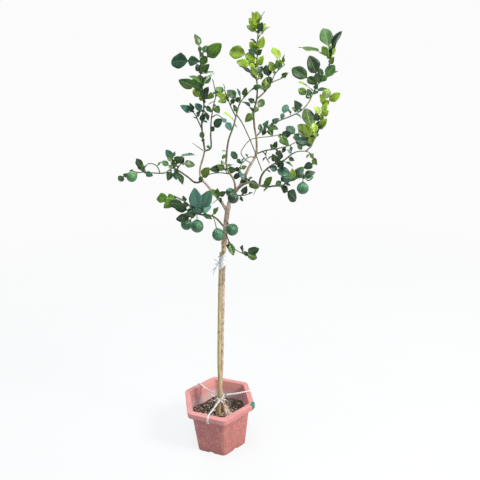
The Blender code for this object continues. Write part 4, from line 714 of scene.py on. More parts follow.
def settle(row, points, crowd, owner, name):
    """One leaf from its row, or None where it finds no room."""
    kind = row[4]
    draw = random.Random("%d %s" % (LEAF_SEED, name))
    root = nearest_on_sheet(points, Vector(row[0:2]))
    seen = placed(row[2], row[3], root.y / MM) - root
    winged = kind[0] in "WN" or seen.length > WINGED_LENGTH
    outline = WINGED_OUTLINE if winged else SMALL_OUTLINE if seen.length < SMALL_LENGTH else PLAIN_OUTLINE
    best = None
    for attempt in range(LEAF_DRAWS):
        size = seen.length * (1 - LEAF_SHRINK * max(0, attempt - LEAF_DRAWS // 3))
        tilt = math.radians(draw.uniform(-LEAF_LEAN, LEAF_LEAN))
        roll = math.radians(draw.uniform(*LEAF_ROLL[kind[0]]))
        curl = math.radians(draw.uniform(*(WINGED_CURL if winged else PLAIN_CURL)))
        chord = size / math.cos(tilt)
        length = chord * (curl / 2) / math.sin(curl / 2)
        ratio = (WINGED_HALF_WIDTH if winged else PLAIN_HALF_WIDTH) * draw.uniform(*LEAF_WIDTH_RANGE)
        frame = leaf_frame(root, math.atan2(seen.z, seen.x), tilt, roll, curl)
        leaf = (frame, length, size * ratio, curl, outline)
        others, own = crowd.room(leaf_samples(*leaf), owner)
        if others > LEAF_SPACE and own > OWN_LEAF_SPACE:
            return leaf
        if others > LEAF_SPACE and (best is None or own > best[0]):
            best = (own, leaf)
    return best[1] if best else None


def around_two(low, high, turns, steps, gap, tilt=0.0):
    """A coil drawn tight round the stem and the cane, which it takes in together.

    At each direction the band touches whichever of the two stands out furthest, so its plan is the outline
    of a belt round two wheels.
    """
    points = []
    for k in range(steps + 1):
        share = k / steps
        height = low + (high - low) * share
        angle = 2 * math.pi * turns * share
        wheels = [wheel_at(CANE_LINE, height), wheel_at(TRUNK_LINE, height)]
        points.append(belt_point(wheels, angle, gap) + Vector((0, 0, height + tilt * math.cos(angle))))
    return points


def wheel_at(line, height):
    """Where a nearly upright stem passes a height: its middle and its radius."""
    points, radii = line
    for a, b, ra, rb in zip(points, points[1:], radii, radii[1:]):
        if a.z <= height <= b.z:
            t = (height - a.z) / (b.z - a.z)
            return a.lerp(b, t), ra + (rb - ra) * t
    return points[-1], radii[-1]


def belt_point(wheels, angle, gap):
    """A point of the belt round two wheels, at a share of its length given by an angle."""
    (a, ra), (b, rb) = wheels
    ra, rb = ra + gap, rb + gap
    axis = Vector((b.x - a.x, b.y - a.y, 0))
    span = axis.length
    axis = axis / span
    side = Vector((-axis.y, axis.x, 0))
    lean = math.asin((ra - rb) / span)
    reach = math.pi / 2 - lean
    straight = span * math.cos(lean)
    stretches = [rb * 2 * reach, straight, ra * 2 * (math.pi - reach), straight]
    wanted = (angle / (2 * math.pi)) % 1.0 * sum(stretches)
    if wanted < stretches[0]:
        turn = -reach + wanted / rb
        spot, size = b, rb
    elif wanted < stretches[0] + stretches[1]:
        t = (wanted - stretches[0]) / straight
        out = axis * math.cos(reach) + side * math.sin(reach)
        start, end = b + out * rb, a + out * ra
        return Vector((start.x + (end.x - start.x) * t, start.y + (end.y - start.y) * t, 0))
    elif wanted < sum(stretches[:3]):
        turn = reach + (wanted - stretches[0] - stretches[1]) / ra
        spot, size = a, ra
    else:
        t = (wanted - sum(stretches[:3])) / straight
        out = axis * math.cos(reach) - side * math.sin(reach)
        start, end = a + out * ra, b + out * rb
        return Vector((start.x + (end.x - start.x) * t, start.y + (end.y - start.y) * t, 0))
    out = axis * math.cos(turn) + side * math.sin(turn)
    return Vector((spot.x + out.x * size, spot.y + out.y * size, 0))


def rim_point(angle, reach, height):
    """A point over the lip in a plan direction: reach is measured outwards from the lip's outer face."""
    sector = math.radians(60)
    inward = (angle - POT_TURN + sector / 2) % sector - sector / 2
    flat = LIP_CIRCUMRADIUS * math.cos(sector / 2) / math.cos(inward)
    return Vector((math.cos(angle) * (flat + reach), math.sin(angle) * (flat + reach), height))


def tie_strand(angle, knot, sag):
    """One strand of a tie: from the knot to the lip, round its edge and down to its under side."""
    clear = TWINE_RADIUS + GAP
    start = rim_point(angle, -LIP_FLAT_WIDTH, POT_HEIGHT + clear + TIE_LIFT)
    points = [knot] + [knot.lerp(start, t) - Vector((0, 0, sag * 4 * t * (1 - t))) for t in (0.33, 0.66)]
    points.append(start)
    bend = (LIP_EDGE_ROUNDING + clear + 0.0001) / math.cos(math.radians(15))
    for turn in (75, 45, 15):
        reach = bend * math.cos(math.radians(turn)) - LIP_EDGE_ROUNDING
        rise = bend * math.sin(math.radians(turn)) - LIP_EDGE_ROUNDING
        points.append(rim_point(angle, reach, POT_HEIGHT + rise))
    under = POT_HEIGHT - LIP_HEIGHT
    points.append(rim_point(angle, 0.0, under - TIE_TURN_UNDER))
    points.append(rim_point(angle, -TIE_HOOK, under - 1.8 * TIE_TURN_UNDER))
    return points


def swollen(points, radii, heights, length, swell):
    """A route with short rings of a larger radius put in at the given heights."""
    line = list(zip(points, radii))
    for height in heights:
        for offset, extra in ((-length, 0), (-length * 0.35, swell), (length * 0.35, swell), (length, 0)):
            place, radius = wheel_at((points, radii), height + offset)
            line.append((place, radius + extra))
    line.sort(key=lambda item: item[0].z)
    return [place for place, _ in line], [radius for _, radius in line]


# Fine leaf edges: half width as a share of the widest, at places along the midrib
WINGED_EDGE = [(0, 0.08), (0.05, 0.16), (0.10, 0.36), (0.16, 0.54), (0.23, 0.66), (0.29, 0.62), (0.34, 0.36),
               (0.365, 0.13), (0.385, 0.09), (0.41, 0.26), (0.46, 0.60), (0.52, 0.84), (0.59, 0.97), (0.67, 1.0),
               (0.75, 0.94), (0.83, 0.78), (0.90, 0.56), (0.96, 0.30), (1, 0.05)]
PLAIN_EDGE = [(0, 0.09), (0.05, 0.20), (0.10, 0.36), (0.15, 0.42), (0.19, 0.30), (0.215, 0.14), (0.24, 0.30),
              (0.30, 0.72), (0.38, 0.97), (0.48, 1.0), (0.58, 0.94), (0.68, 0.82), (0.78, 0.64), (0.87, 0.43),
              (0.94, 0.22), (1, 0.04)]
LEAF_COLUMNS = 7
RIB_THICKNESS = 0.0009
MARGIN_THICKNESS = 0.0005
AGES = {"y": 0.0, "g": 0.5, "t": 1.0}


def ring_faces(stations, around):
    """Quads over a stack of closed rings, with both ends closed by quads across the ring."""
    i, j = np.meshgrid(np.arange(stations - 1), np.arange(around), indexing="ij")
    i, j = i.ravel(), j.ravel()
    k = (j + 1) % around
    sides = np.stack([i * around + j, i * around + k, (i + 1) * around + k, (i + 1) * around + j], 1)
    c = np.arange(around // 2 - 1)
    cap = np.stack([c, c + 1, around - 2 - c, around - 1 - c], 1)
    quads = np.vstack([sides, cap[:, ::-1], cap + (stations - 1) * around])
    left, right = j / around, (j + 1) / around
    low, high = i / (stations - 1), (i + 1) / (stations - 1)
    side_uv = np.stack([np.stack([left, low], 1), np.stack([right, low], 1), np.stack([right, high], 1),
                        np.stack([left, high], 1)], 1)
    cap_uv = np.zeros((len(cap), 4, 2))
    return quads, np.vstack([side_uv, cap_uv, cap_uv + (0, 1)])


def patch(rings, **values):
    """A closed skin over rings of points (stations, around, 3), with a value for each point if wanted."""
    rings = np.asarray(rings)
    quads, uv = ring_faces(*rings.shape[:2])
    spread = {key: np.broadcast_to(value, rings.shape[:2]).ravel() for key, value in values.items()}
    return rings.reshape(-1, 3), quads, uv, spread


def piece(name, patches, material, nodes=()):
    """One mesh object from patches, riding on the body and standing for the nodes that it replaces."""
    counts = np.cumsum([0] + [len(p[0]) for p in patches])
    vertices = np.vstack([p[0] for p in patches])
    quads = np.vstack([p[1] + start for p, start in zip(patches, counts)])
    mesh = bpy.data.meshes.new(name)
    mesh.from_pydata(vertices.tolist(), [], quads.tolist())
    layer = mesh.uv_layers.new(name="UVMap")
    layer.data.foreach_set("uv", np.vstack([p[2] for p in patches]).astype(np.float32).ravel())
    for key in patches[0][3]:
        column = np.concatenate([p[3][key] for p in patches]).astype(np.float32)
        mesh.attributes.new(key, "FLOAT", "POINT").data.foreach_set("value", column)
    mesh.materials.append(material)
    mesh.shade_smooth()
    obj = bpy.data.objects.new(name, mesh)
    bpy.context.scene.collection.objects.link(obj)
    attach(obj, "root")
    if nodes:
        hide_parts(*nodes)
    return obj


def smooth_route(points, radii, step):
    """A route's points joined by a smooth curve: cubic Hermite through them, read every step metres."""
    points = np.array([tuple(p) for p in points])
    reach = np.concatenate([[0], np.cumsum(np.linalg.norm(np.diff(points, axis=0), axis=1))])
    slope = np.gradient(points, reach, axis=0)
    fine = np.linspace(0, reach[-1], max(4, int(reach[-1] / step) + 1))
    i = np.clip(np.searchsorted(reach, fine, "right") - 1, 0, len(points) - 2)
    span = (reach[i + 1] - reach[i])[:, None]
    t = (fine - reach[i])[:, None] / span
    places = (points[i] * (1 + 2 * t) * (1 - t) ** 2 + slope[i] * span * t * (1 - t) ** 2
              + points[i + 1] * t * t * (3 - 2 * t) + slope[i + 1] * span * t * t * (t - 1))
    return places, np.interp(fine, reach, radii)


def transported(places):
    """Directions along a route, and two directions across it that turn no more than the route does."""
    along = np.gradient(places, axis=0)
    along /= np.linalg.norm(along, axis=1)[:, None]
    side = np.zeros_like(places)
    first = np.cross(along[0], (0.0, 1.0, 0.0) if abs(along[0][1]) < 0.9 else (1.0, 0.0, 0.0))
    side[0] = first / np.linalg.norm(first)
    for k in range(1, len(places)):
        step = side[k - 1] - along[k] * side[k - 1].dot(along[k])
        side[k] = step / np.linalg.norm(step)
    return along, side, np.cross(along, side)


def tube_rings(places, radii, around, flat=1.0, turns=0.0):
    """Rings round a route. The radii are one for each station, or one for each point of each ring.

    A flat below 1 makes the section an oval that is thinner one way, turned evenly by the turns given.
    """
    _, side, up = transported(places)
    radii = np.asarray(radii)
    if radii.ndim == 1:
        radii = radii[:, None]
    angle = np.arange(around) * 2 * math.pi / around
    twist = np.linspace(0, turns * 2 * math.pi, len(places))[:, None]
    x, y = np.cos(angle)[None], np.sin(angle)[None] * flat
    u = x * np.cos(twist) - y * np.sin(twist)
    v = x * np.sin(twist) + y * np.cos(twist)
    return places[:, None] + (side[:, None] * (u * radii)[:, :, None] + up[:, None] * (v * radii)[:, :, None])


def waves(name, count, lowest, highest):
    """Seeded sines over a tube's skin, as (waves round it, waves a metre, phase, weight)."""
    draw = random.Random(name)
    return [(draw.randint(lowest, highest), draw.uniform(20, 220), draw.uniform(0, 6.28), draw.uniform(0.4, 1))
            for _ in range(count)]


def roughened(radii, step, around, name, amount):
    """Radii with bark on them: r * (1 + amount * mean of weight * sin(n * angle + k * distance + phase))."""
    angle = np.arange(around)[None] * 2 * math.pi / around
    reach = np.arange(len(radii))[:, None] * step
    total = sum(w * np.sin(n * angle + k * reach + p) for n, k, p, w in waves(name, 9, 0, 7))
    return radii[:, None] * (1 + amount * total / 3)


def bumps(radii, step, name, spacing, height):
    """Radii with a swelling every so often: where a leaf, a thorn or a twig once grew."""
    draw = random.Random(name)
    reach = np.arange(len(radii)) * step
    middle = draw.uniform(0.3, 1) * spacing
    swell = np.zeros(len(radii))
    while middle < reach[-1]:
        swell += draw.uniform(0.4, 1) * height * np.exp(-((reach - middle) / 0.0035) ** 2)
        middle += draw.uniform(0.6, 1.4) * spacing
    return radii * (1 + swell)


def wood(points, radii, name, around=16, step=0.004, amount=0.05, spacing=0.03, height=0.12):
    """A stem with bark: a smooth route, roughened and knotted, with its thickness kept as a value."""
    places, fine = smooth_route(points, radii, step)
    knotted = bumps(fine, step, name, spacing, height)
    return patch(tube_rings(places, roughened(knotted, step, around, name, amount), around),
                 thickness=fine[:, None])


def blade(leaf, kind, name):
    """A leaf: its midrib bends as an arc, its sides rise from the rib in a V, and its margin waves.

    At a share s of the length and u from -1 to 1 across, the point is the midrib's, plus across * u * width(s),
    plus normal * (fold * |u| * width + wave * u * u * sin(a * s + p) + twist * u * |u| * sin(b * s + q)).
    """
    (root, along, across, normal), length, half_width, curl, outline = leaf
    draw = random.Random(name + " look")
    edge = np.array(WINGED_EDGE if outline is WINGED_OUTLINE else PLAIN_EDGE)
    share = edge[:, 0]
    width = edge[:, 1] * half_width * (1 + 0.03 * np.sin(share * 60 + draw.uniform(0, 6)))
    root, along, across, normal = (np.array(tuple(v)) for v in (root, along, across, normal))
    angle = curl * share
    middle = (root + along * (length * np.sin(angle) / curl)[:, None]
              - normal * (length * (1 - np.cos(angle)) / curl)[:, None])
    up = normal * np.cos(angle)[:, None] + along * np.sin(angle)[:, None]
    u = np.linspace(-1, 1, LEAF_COLUMNS)
    reach = u[None] * width[:, None]
    lift = draw.uniform(0.08, 0.26) * np.abs(reach)
    lift = lift + 0.10 * width[:, None] * (u * u)[None] * np.sin(share * 14 + draw.uniform(0, 6))[:, None]
    lift = lift + 0.10 * width[:, None] * (u * np.abs(u))[None] * np.sin(share * 8 + draw.uniform(0, 6))[:, None]
    half = (RIB_THICKNESS + (MARGIN_THICKNESS - RIB_THICKNESS) * np.abs(u))[None] / 2 + 0 * reach
    skin = middle[:, None] + across * reach[:, :, None]
    top = skin + up[:, None] * (lift + half)[:, :, None]
    under = skin + up[:, None] * (lift - half)[:, :, None]
    rings = np.concatenate([top, under[:, ::-1]], 1)
    sides = np.concatenate([np.zeros(LEAF_COLUMNS), np.ones(LEAF_COLUMNS)])[None]
    off_rib = np.concatenate([np.abs(u), np.abs(u)[::-1]])[None]
    return patch(rings, tone=draw.random(), age=min(1, max(0, AGES[kind[1]] + draw.uniform(-0.2, 0.2))),
                 under=sides, across=off_rib, along=share[:, None] * length)


def fruit_patches(name, middle, foot, radius):
    """A knobbly citrus fruit about its stalk's line, with a creased neck and a small star of a calyx.

    The radius is r * (1 + lumps + knobs + neck): lumps are broad seeded sines, knobs are short ones of which
    only the crests stand out, and the neck lifts the skin round the stalk.
    """
    draw = random.Random(name + " skin")
    around, stations = 48, 30
    polar = np.linspace(0.0, math.pi, stations)[::-1][:, None]
    turn = (np.arange(around) * 2 * math.pi / around)[None]
    lumps = sum(draw.uniform(0.008, 0.022) * np.sin(n * turn + draw.uniform(0, 6)) * np.sin(polar) ** 2
                * np.cos(draw.uniform(1, 3) * polar + draw.uniform(0, 6)) for n in (2, 3, 4, 5))
    knobs = sum(np.sin(n * turn + m * polar + draw.uniform(0, 6)) * np.sin((n - 2) * polar + draw.uniform(0, 6))
                for n, m in ((9, 5), (11, -7), (13, 6), (8, -9)))
    knobs = 0.020 * np.clip(knobs / 2, -0.4, 1) * np.sin(polar)
    neck = 0.12 * np.exp(-(polar / 0.34) ** 2)
    creases = 0.018 * np.cos(7 * turn + draw.uniform(0, 6)) * np.exp(-((polar - 0.45) / 0.25) ** 2)
    size = radius * 0.975 * (1 + lumps + knobs + neck + creases)
    up = (foot - middle).normalized()
    side = up.orthogonal().normalized()
    axes = np.array([tuple(side), tuple(up.cross(side)), tuple(up)])
    local = np.stack([size * np.sin(polar) * np.cos(turn), size * np.sin(polar) * np.sin(turn),
                      size * np.cos(polar) + 0 * turn], 2)
    local[0], local[-1] = local[0].mean(0) * 1.0, local[-1].mean(0)
    ring = 0.0004 * np.stack([np.cos(turn[0]), np.sin(turn[0]), 0 * turn[0]], 1)
    local[0] += ring
    local[-1] += ring
    body = patch(np.array(tuple(middle)) + local @ axes, calyx=0.0)

    top = float(size[-1].mean())
    rows = []
    for reach, height in ((0.0003, 0.0005), (0.0016, 0.0007), (0.0036, 0.0001), (0.0036, -0.0012),
                          (0.0014, -0.0016), (0.0003, -0.0016)):
        star = reach * (1 + 0.28 * np.cos(5 * turn[0])) if reach > 0.001 else reach + 0 * turn[0]
        rows.append(np.stack([star * np.cos(turn[0]), star * np.sin(turn[0]), top + height - 0.0006 + 0 * star], 1))
    calyx = patch((np.array(tuple(middle)) + np.array(rows) @ axes)[::-1], calyx=1.0)
    return [body, calyx]


def soil_height(x, y, name="soil relief"):
    """The soil's height: level and mounded to the middle, with seeded waves from a hand's width to a crumb."""
    draw = random.Random(name)
    reach = np.hypot(x, y) / BODY_TOP_CIRCUMRADIUS
    height = SOIL_LEVEL + SOIL_MOUND * (1 - reach) * 0.85
    for count, weight in ((30, 0.0016), (70, 0.0012), (160, 0.0009), (330, 0.0006), (620, 0.0005)):
        for _ in range(3):
            heading, phase = draw.uniform(0, 6.28), draw.uniform(0, 6.28)
            along = x * math.cos(heading) + y * math.sin(heading)
            across = y * math.cos(heading) - x * math.sin(heading)
            height = height + weight * np.sin(along * count + phase) * np.sin(across * count * 0.8 + phase * 2)
    return height


def pot_inside(angle, height):
    """How far the pot's inner wall is from its axis, in a plan direction and at a height."""
    taper = (BODY_TOP_CIRCUMRADIUS - BASE_CIRCUMRADIUS) / (POT_HEIGHT - LIP_HEIGHT)
    corner = BASE_CIRCUMRADIUS + taper * height - WALL_THICKNESS - 2 * GAP
    inward = (angle - POT_TURN + math.pi / 6) % (math.pi / 3) - math.pi / 6
    flat = corner * math.cos(math.pi / 6) / np.cos(inward)
    return np.minimum(flat, corner - 0.0016)


def soil_patch():
    """The soil: rings of points from the middle out to the wall, and down it to the pot's floor."""
    around = 240
    turn = np.arange(around) * 2 * math.pi / around
    rim = pot_inside(turn, SOIL_LEVEL)
    rows = []
    for share in np.linspace(0.004, 1, 96) ** 0.8:
        x, y = rim * share * np.cos(turn), rim * share * np.sin(turn)
        rows.append(np.stack([x, y, soil_height(x, y)], 1))
    low = pot_inside(turn, SOIL_BOTTOM)
    for share in (0.5, 1.0):
        edge = rim + (low - rim) * share
        level = SOIL_LEVEL + (SOIL_BOTTOM - SOIL_LEVEL) * share
        rows.append(np.stack([edge * np.cos(turn), edge * np.sin(turn), level + 0 * turn], 1))
    rows.append(np.stack([0.004 * np.cos(turn), 0.004 * np.sin(turn), SOIL_BOTTOM + 0 * turn], 1))
    return patch(np.array(rows)[::-1])


CHIP_COUNT = 620
STONE_COUNT = 240
CRUMB_COUNT = 900


def scattered(name, count, smallest, largest, shape, tones, near=None):
    """Bits lying on the soil: bent eight-cornered lumps of seeded size, lean and tone.

    They lie anywhere on the soil, or about a place with a spread that near gives as (x, y, spread).
    """
    draw = random.Random(name)
    patches = []
    for _ in range(count):
        angle, share = draw.uniform(0, 2 * math.pi), math.sqrt(draw.random())
        reach = float(pot_inside(np.array(angle), SOIL_LEVEL)) - 0.004
        x, y = reach * share * math.cos(angle), reach * share * math.sin(angle)
        if near:
            x, y = (near[k] + near[2] * draw.gauss(0, 1) for k in (0, 1))
            inside = float(pot_inside(np.array(math.atan2(y, x)), SOIL_LEVEL)) - largest
            x, y = (value * min(1, inside / math.hypot(x, y)) for value in (x, y))
        size = smallest + (largest - smallest) * draw.random() ** 2
        spots = np.array([(-1, 0), (-0.5, -0.9), (0.5, -1), (1, 0), (0.6, 0.9), (-0.6, 1)])
        spots = spots * [[draw.uniform(0.7, 1.1), draw.uniform(0.6, 1.1)] for _ in spots]
        rows = [np.column_stack([spots * scale, np.full(6, height)])
                for scale, height in ((0.6, -1.0), (1.0, -0.3), (0.95, 0.4), (0.55, 1.0))]
        local = np.array(rows) * shape * size
        lean = Matrix.Rotation(draw.uniform(0, 6.28), 3, "Z") @ Matrix.Rotation(draw.gauss(0, 0.35), 3, "X")
        lean = lean @ Matrix.Rotation(draw.gauss(0, 0.35), 3, "Y")
        height = float(soil_height(np.array(x), np.array(y))) + shape[2] * size * draw.uniform(-0.2, 0.7)
        patches.append(patch(local @ np.array(lean.transposed()) + (x, y, height), tone=draw.uniform(*tones)))
    return patches


def cane_patch(line):
    """Bamboo: a round stem with fine lengthwise grooves, and at each node a ridge with a groove above it."""
    step = 0.0012
    places, radii = smooth_route(*line, step)
    height = places[:, 2]
    around = 32
    turn = np.arange(around)[None] * 2 * math.pi / around
    shape = np.ones(len(places))
    for node in CANE_NODES:
        off = height - node
        shape += 0.10 * np.exp(-(off / 0.0022) ** 2) - 0.05 * np.exp(-((off - 0.0042) / 0.0016) ** 2)
        shape += 0.05 * np.exp(-((off + 0.004) / 0.0035) ** 2)
    grooves = 0.012 * np.sin(9 * turn + 0.6) + 0.008 * np.sin(16 * turn + 2)
    skin = (radii * shape)[:, None] * (1 + grooves)
    return patch(tube_rings(places, skin, around))


def tape_patch(points, wide, thick, name):
    """A band wound round stem and cane: its section is a flat oval that lies along the wood, edges ruffled."""
    draw = random.Random(name)
    places, _ = smooth_route(points, [wide] * len(points), 0.0014)
    along = np.gradient(places, axis=0)
    along /= np.linalg.norm(along, axis=1)[:, None]
    upright = np.array([0.0, 0.0, 1.0]) - along * along[:, 2:3]
    upright /= np.linalg.norm(upright, axis=1)[:, None]
    out = np.cross(along, upright)
    around = 16
    turn = np.arange(around) * 2 * math.pi / around
    reach = np.arange(len(places)) * 0.0014
    ruffle = 1 + 0.16 * np.sin(reach * 520 + draw.uniform(0, 6)) + 0.10 * np.sin(reach * 1130)
    x = (np.cos(turn)[None] * wide * ruffle[:, None])
    y = np.sin(turn)[None] * thick * (1 + 0.25 * np.sin(reach * 900)[:, None] * np.cos(turn)[None] ** 2)
    return patch(places[:, None] + upright[:, None] * x[:, :, None] + out[:, None] * y[:, :, None])


def twine_patches(points, radius, name, strands=3, lay=0.011):
    """Split plastic twine: a few flat strands laid round each other along the route."""
    places, _ = smooth_route(points, [radius] * len(points), 0.0011)
    _, side, up = transported(places)
    reach = np.arange(len(places)) * 0.0011
    made = []
    for k in range(strands):
        angle = 2 * math.pi * (k / strands + reach / lay) + 0.5 * np.sin(reach * 90 + k * 2)
        off = radius * 0.42
        middle = places + side * (off * np.cos(angle))[:, None] + up * (off * np.sin(angle))[:, None]
        made.append(patch(tube_rings(middle, np.full(len(places), radius * 0.62), 8, 0.55,
                                     turns=reach[-1] / lay)))
    return made


def loose_end(points, wide, name):
    """A frayed end or a bow of thin film: a flat strand that narrows to its tip and twists a little."""
    draw = random.Random(name)
    places, taper = smooth_route(millimetres(points), np.linspace(1, 0.35, len(points)), 0.0012)
    return patch(tube_rings(places, wide * taper, 10, 0.22, turns=draw.uniform(-0.6, 0.6)))


def add(tree, kind, values=None, **settings):
    """A shader node with its settings, its sockets set to constants or linked from other sockets."""
    node = tree.nodes.new("ShaderNode" + kind)
    for key, value in settings.items():
        setattr(node, key, value)
    for key, value in (values or {}).items():
        if isinstance(value, bpy.types.NodeSocket):
            tree.links.new(value, node.inputs[key])
        else:
            node.inputs[key].default_value = value
    return node


def ramp(tree, factor, *stops):
    """A colour ramp over a factor: stops are (place, colour) and a colour may be one grey level."""
    node = add(tree, "ValToRGB", {"Fac": factor})
    elements = node.color_ramp.elements
    while len(elements) < len(stops):
        elements.new(0.5)
    for element, (place, colour) in zip(elements, stops):
        element.position = place
        element.color = (*colour, 1) if isinstance(colour, tuple) else (colour, colour, colour, 1)
    return node.outputs["Color"]


def noise(tree, place, scale, detail=4.0, roughness=0.55, distortion=0.0):
    values = {"Vector": place, "Scale": scale, "Detail": detail, "Roughness": roughness,
              "Distortion": distortion}
    return add(tree, "TexNoise", values).outputs["Fac"]


def mixed(tree, factor, first, second, blend="MIX"):
    node = add(tree, "Mix", {"Factor": factor}, data_type="RGBA", blend_type=blend)
    for socket, value in ((node.inputs[6], first), (node.inputs[7], second)):
        if isinstance(value, bpy.types.NodeSocket):
            tree.links.new(value, socket)
        else:
            socket.default_value = (*value, 1)
    return node.outputs[2]


def maths(tree, operation, first, second=0.0, third=0.0, clamp=False):
    node = add(tree, "Math", {0: first, 1: second, 2: third}, operation=operation, use_clamp=clamp)
    return node.outputs[0]


def stretched(tree, place, scale):
    return add(tree, "Mapping", {"Vector": place, "Scale": scale}).outputs["Vector"]


def value_of(tree, name):
    return add(tree, "Attribute", attribute_name=name).outputs["Fac"]


def material(name, build):
    """A material whose build function gets the tree, Object coordinates and the Principled BSDF."""
    made = bpy.data.materials.new(name)
    made.use_nodes = True
    tree = made.node_tree
    shader = tree.nodes["Principled BSDF"]
    build(tree, add(tree, "TexCoord").outputs["Object"], shader)
    return made


def joined(tree, shader, **sockets):
    """Links or sets sockets of the shader, written with underscores for spaces."""
    for key, value in sockets.items():
        socket = shader.inputs[key.replace("_", " ")]
        if isinstance(value, bpy.types.NodeSocket):
            tree.links.new(value, socket)
        elif isinstance(value, tuple) and len(value) == 3 and socket.type == "RGBA":
            socket.default_value = (*value, 1)
        else:
            socket.default_value = value


def bump(tree, height, strength, distance, below=None):
    values = {"Height": height, "Strength": strength, "Distance": distance}
    if below:
        values["Normal"] = below
    return add(tree, "Bump", values).outputs["Normal"]


def grime_group():
    """Shared: a patchy mask of dust and dirt, and a mask of fine specks."""
    group = bpy.data.node_groups.new("patchy_grime", "ShaderNodeTree")
    group.interface.new_socket("Place", in_out="INPUT", socket_type="NodeSocketVector")
    group.interface.new_socket("Scale", in_out="INPUT", socket_type="NodeSocketFloat")
    group.interface.new_socket("Mask", in_out="OUTPUT", socket_type="NodeSocketFloat")
    group.interface.new_socket("Specks", in_out="OUTPUT", socket_type="NodeSocketFloat")
    start, end = add_group_ends(group)
    wide = noise(group, start.outputs["Place"], start.outputs["Scale"], 6.0, 0.62)
    fine = noise(group, start.outputs["Place"], maths(group, "MULTIPLY", start.outputs["Scale"], 9.0), 5.0, 0.7)
    both = maths(group, "MULTIPLY_ADD", fine, 0.45, maths(group, "MULTIPLY", wide, 0.75))
    mask = ramp(group, both, (0.50, 0.0), (0.72, 1.0))
    specks = ramp(group, fine, (0.60, 0.0), (0.68, 1.0))
    group.links.new(mask, end.inputs["Mask"])
    group.links.new(specks, end.inputs["Specks"])
    return group


def add_group_ends(group):
    return group.nodes.new("NodeGroupInput"), group.nodes.new("NodeGroupOutput")


GRIME = grime_group()


def grime(tree, place, scale):
    node = tree.nodes.new("ShaderNodeGroup")
    node.node_tree = GRIME
    tree.links.new(place, node.inputs["Place"])
    node.inputs["Scale"].default_value = scale
    return node.outputs["Mask"], node.outputs["Specks"]


def leaf_look(tree, place, shader):
    """Glossy upper face with a pale rib and side veins, dull pale under face, tone by age and by leaf, and a painted
    sky reflection that tints some older leaves teal.
    """
    age, tone, under = value_of(tree, "age"), value_of(tree, "tone"), value_of(tree, "under")
    across, along = value_of(tree, "across"), value_of(tree, "along")
    top = ramp(tree, age, (0.0, (0.270, 0.400, 0.012)), (0.35, (0.075, 0.170, 0.006)), (0.62, (0.022, 0.082, 0.008)),
               (1.0, (0.006, 0.042, 0.014)))
    shade = ramp(tree, tone, (0.0, 0.45), (1.0, 1.45))
    top = mixed(tree, 1.0, top, shade, "MULTIPLY")
    broad = noise(tree, place, 31.0, 2.0)
    top = mixed(tree, 1.0, top, ramp(tree, broad, (0.32, 0.42), (0.50, 0.95), (0.66, 1.55)), "MULTIPLY")
    # Painted reflection: older leaves of high tone are tinted teal, standing in for the sky seen in their gloss.
    sheen = maths(tree, "MULTIPLY", ramp(tree, tone, (0.55, 0.0), (1.0, 0.75)), ramp(tree, age, (0.45, 0.0), (0.8, 1.0)))
    top = mixed(tree, sheen, top, (0.055, 0.200, 0.165))
    patches = noise(tree, place, 55.0, 3.0)
    top = mixed(tree, ramp(tree, patches, (0.45, 0.0), (0.75, 0.5)), top, mixed(tree, 0.5, top, (0.15, 0.25, 0.02)))
    slanted = maths(tree, "MULTIPLY_ADD", across, -0.0065, along)
    veins = maths(tree, "SINE", maths(tree, "MULTIPLY", slanted, 1350.0))
    veins = ramp(tree, maths(tree, "MULTIPLY_ADD", veins, 0.5, 0.5), (0.80, 0.0), (0.98, 1.0))
    rib = ramp(tree, across, (0.035, 1.0), (0.10, 0.0))
    lines = maths(tree, "MAXIMUM", rib, maths(tree, "MULTIPLY", veins, 0.35))
    top = mixed(tree, maths(tree, "MULTIPLY", lines, 0.55), top, mixed(tree, age, (0.42, 0.50, 0.12), (0.16, 0.26, 0.08)))
    spots = ramp(tree, noise(tree, place, 420.0, 2.0), (0.70, 0.0), (0.76, 1.0))
    top = mixed(tree, maths(tree, "MULTIPLY", spots, 0.35), top, (0.30, 0.27, 0.10))
    dull = mixed(tree, age, (0.27, 0.38, 0.05), (0.070, 0.150, 0.040))
    dull = mixed(tree, maths(tree, "MULTIPLY", lines, 0.6), dull, (0.30, 0.38, 0.16))
    colour = mixed(tree, under, top, dull)
    rough = maths(tree, "MULTIPLY_ADD", under, 0.20, maths(tree, "MULTIPLY_ADD", patches, 0.22, 0.30))
    relief = maths(tree, "MULTIPLY_ADD", noise(tree, place, 260.0, 3.0), 0.25, maths(tree, "MULTIPLY", lines, -0.8))
    joined(tree, shader, Base_Color=colour, Roughness=rough, Specular_IOR_Level=0.42,
           Coat_Weight=maths(tree, "MULTIPLY_ADD", under, -0.12, 0.16), Coat_Roughness=0.24,
           Normal=bump(tree, relief, 0.5, 0.0006))
    glow = add(tree, "BsdfTranslucent", {"Color": mixed(tree, 0.5, colour, (0.26, 0.44, 0.01))})
    output = tree.nodes["Material Output"]
    both = add(tree, "MixShader", {0: 0.16, 1: shader.outputs["BSDF"], 2: glow.outputs["BSDF"]})
    tree.links.new(both.outputs["Shader"], output.inputs["Surface"])


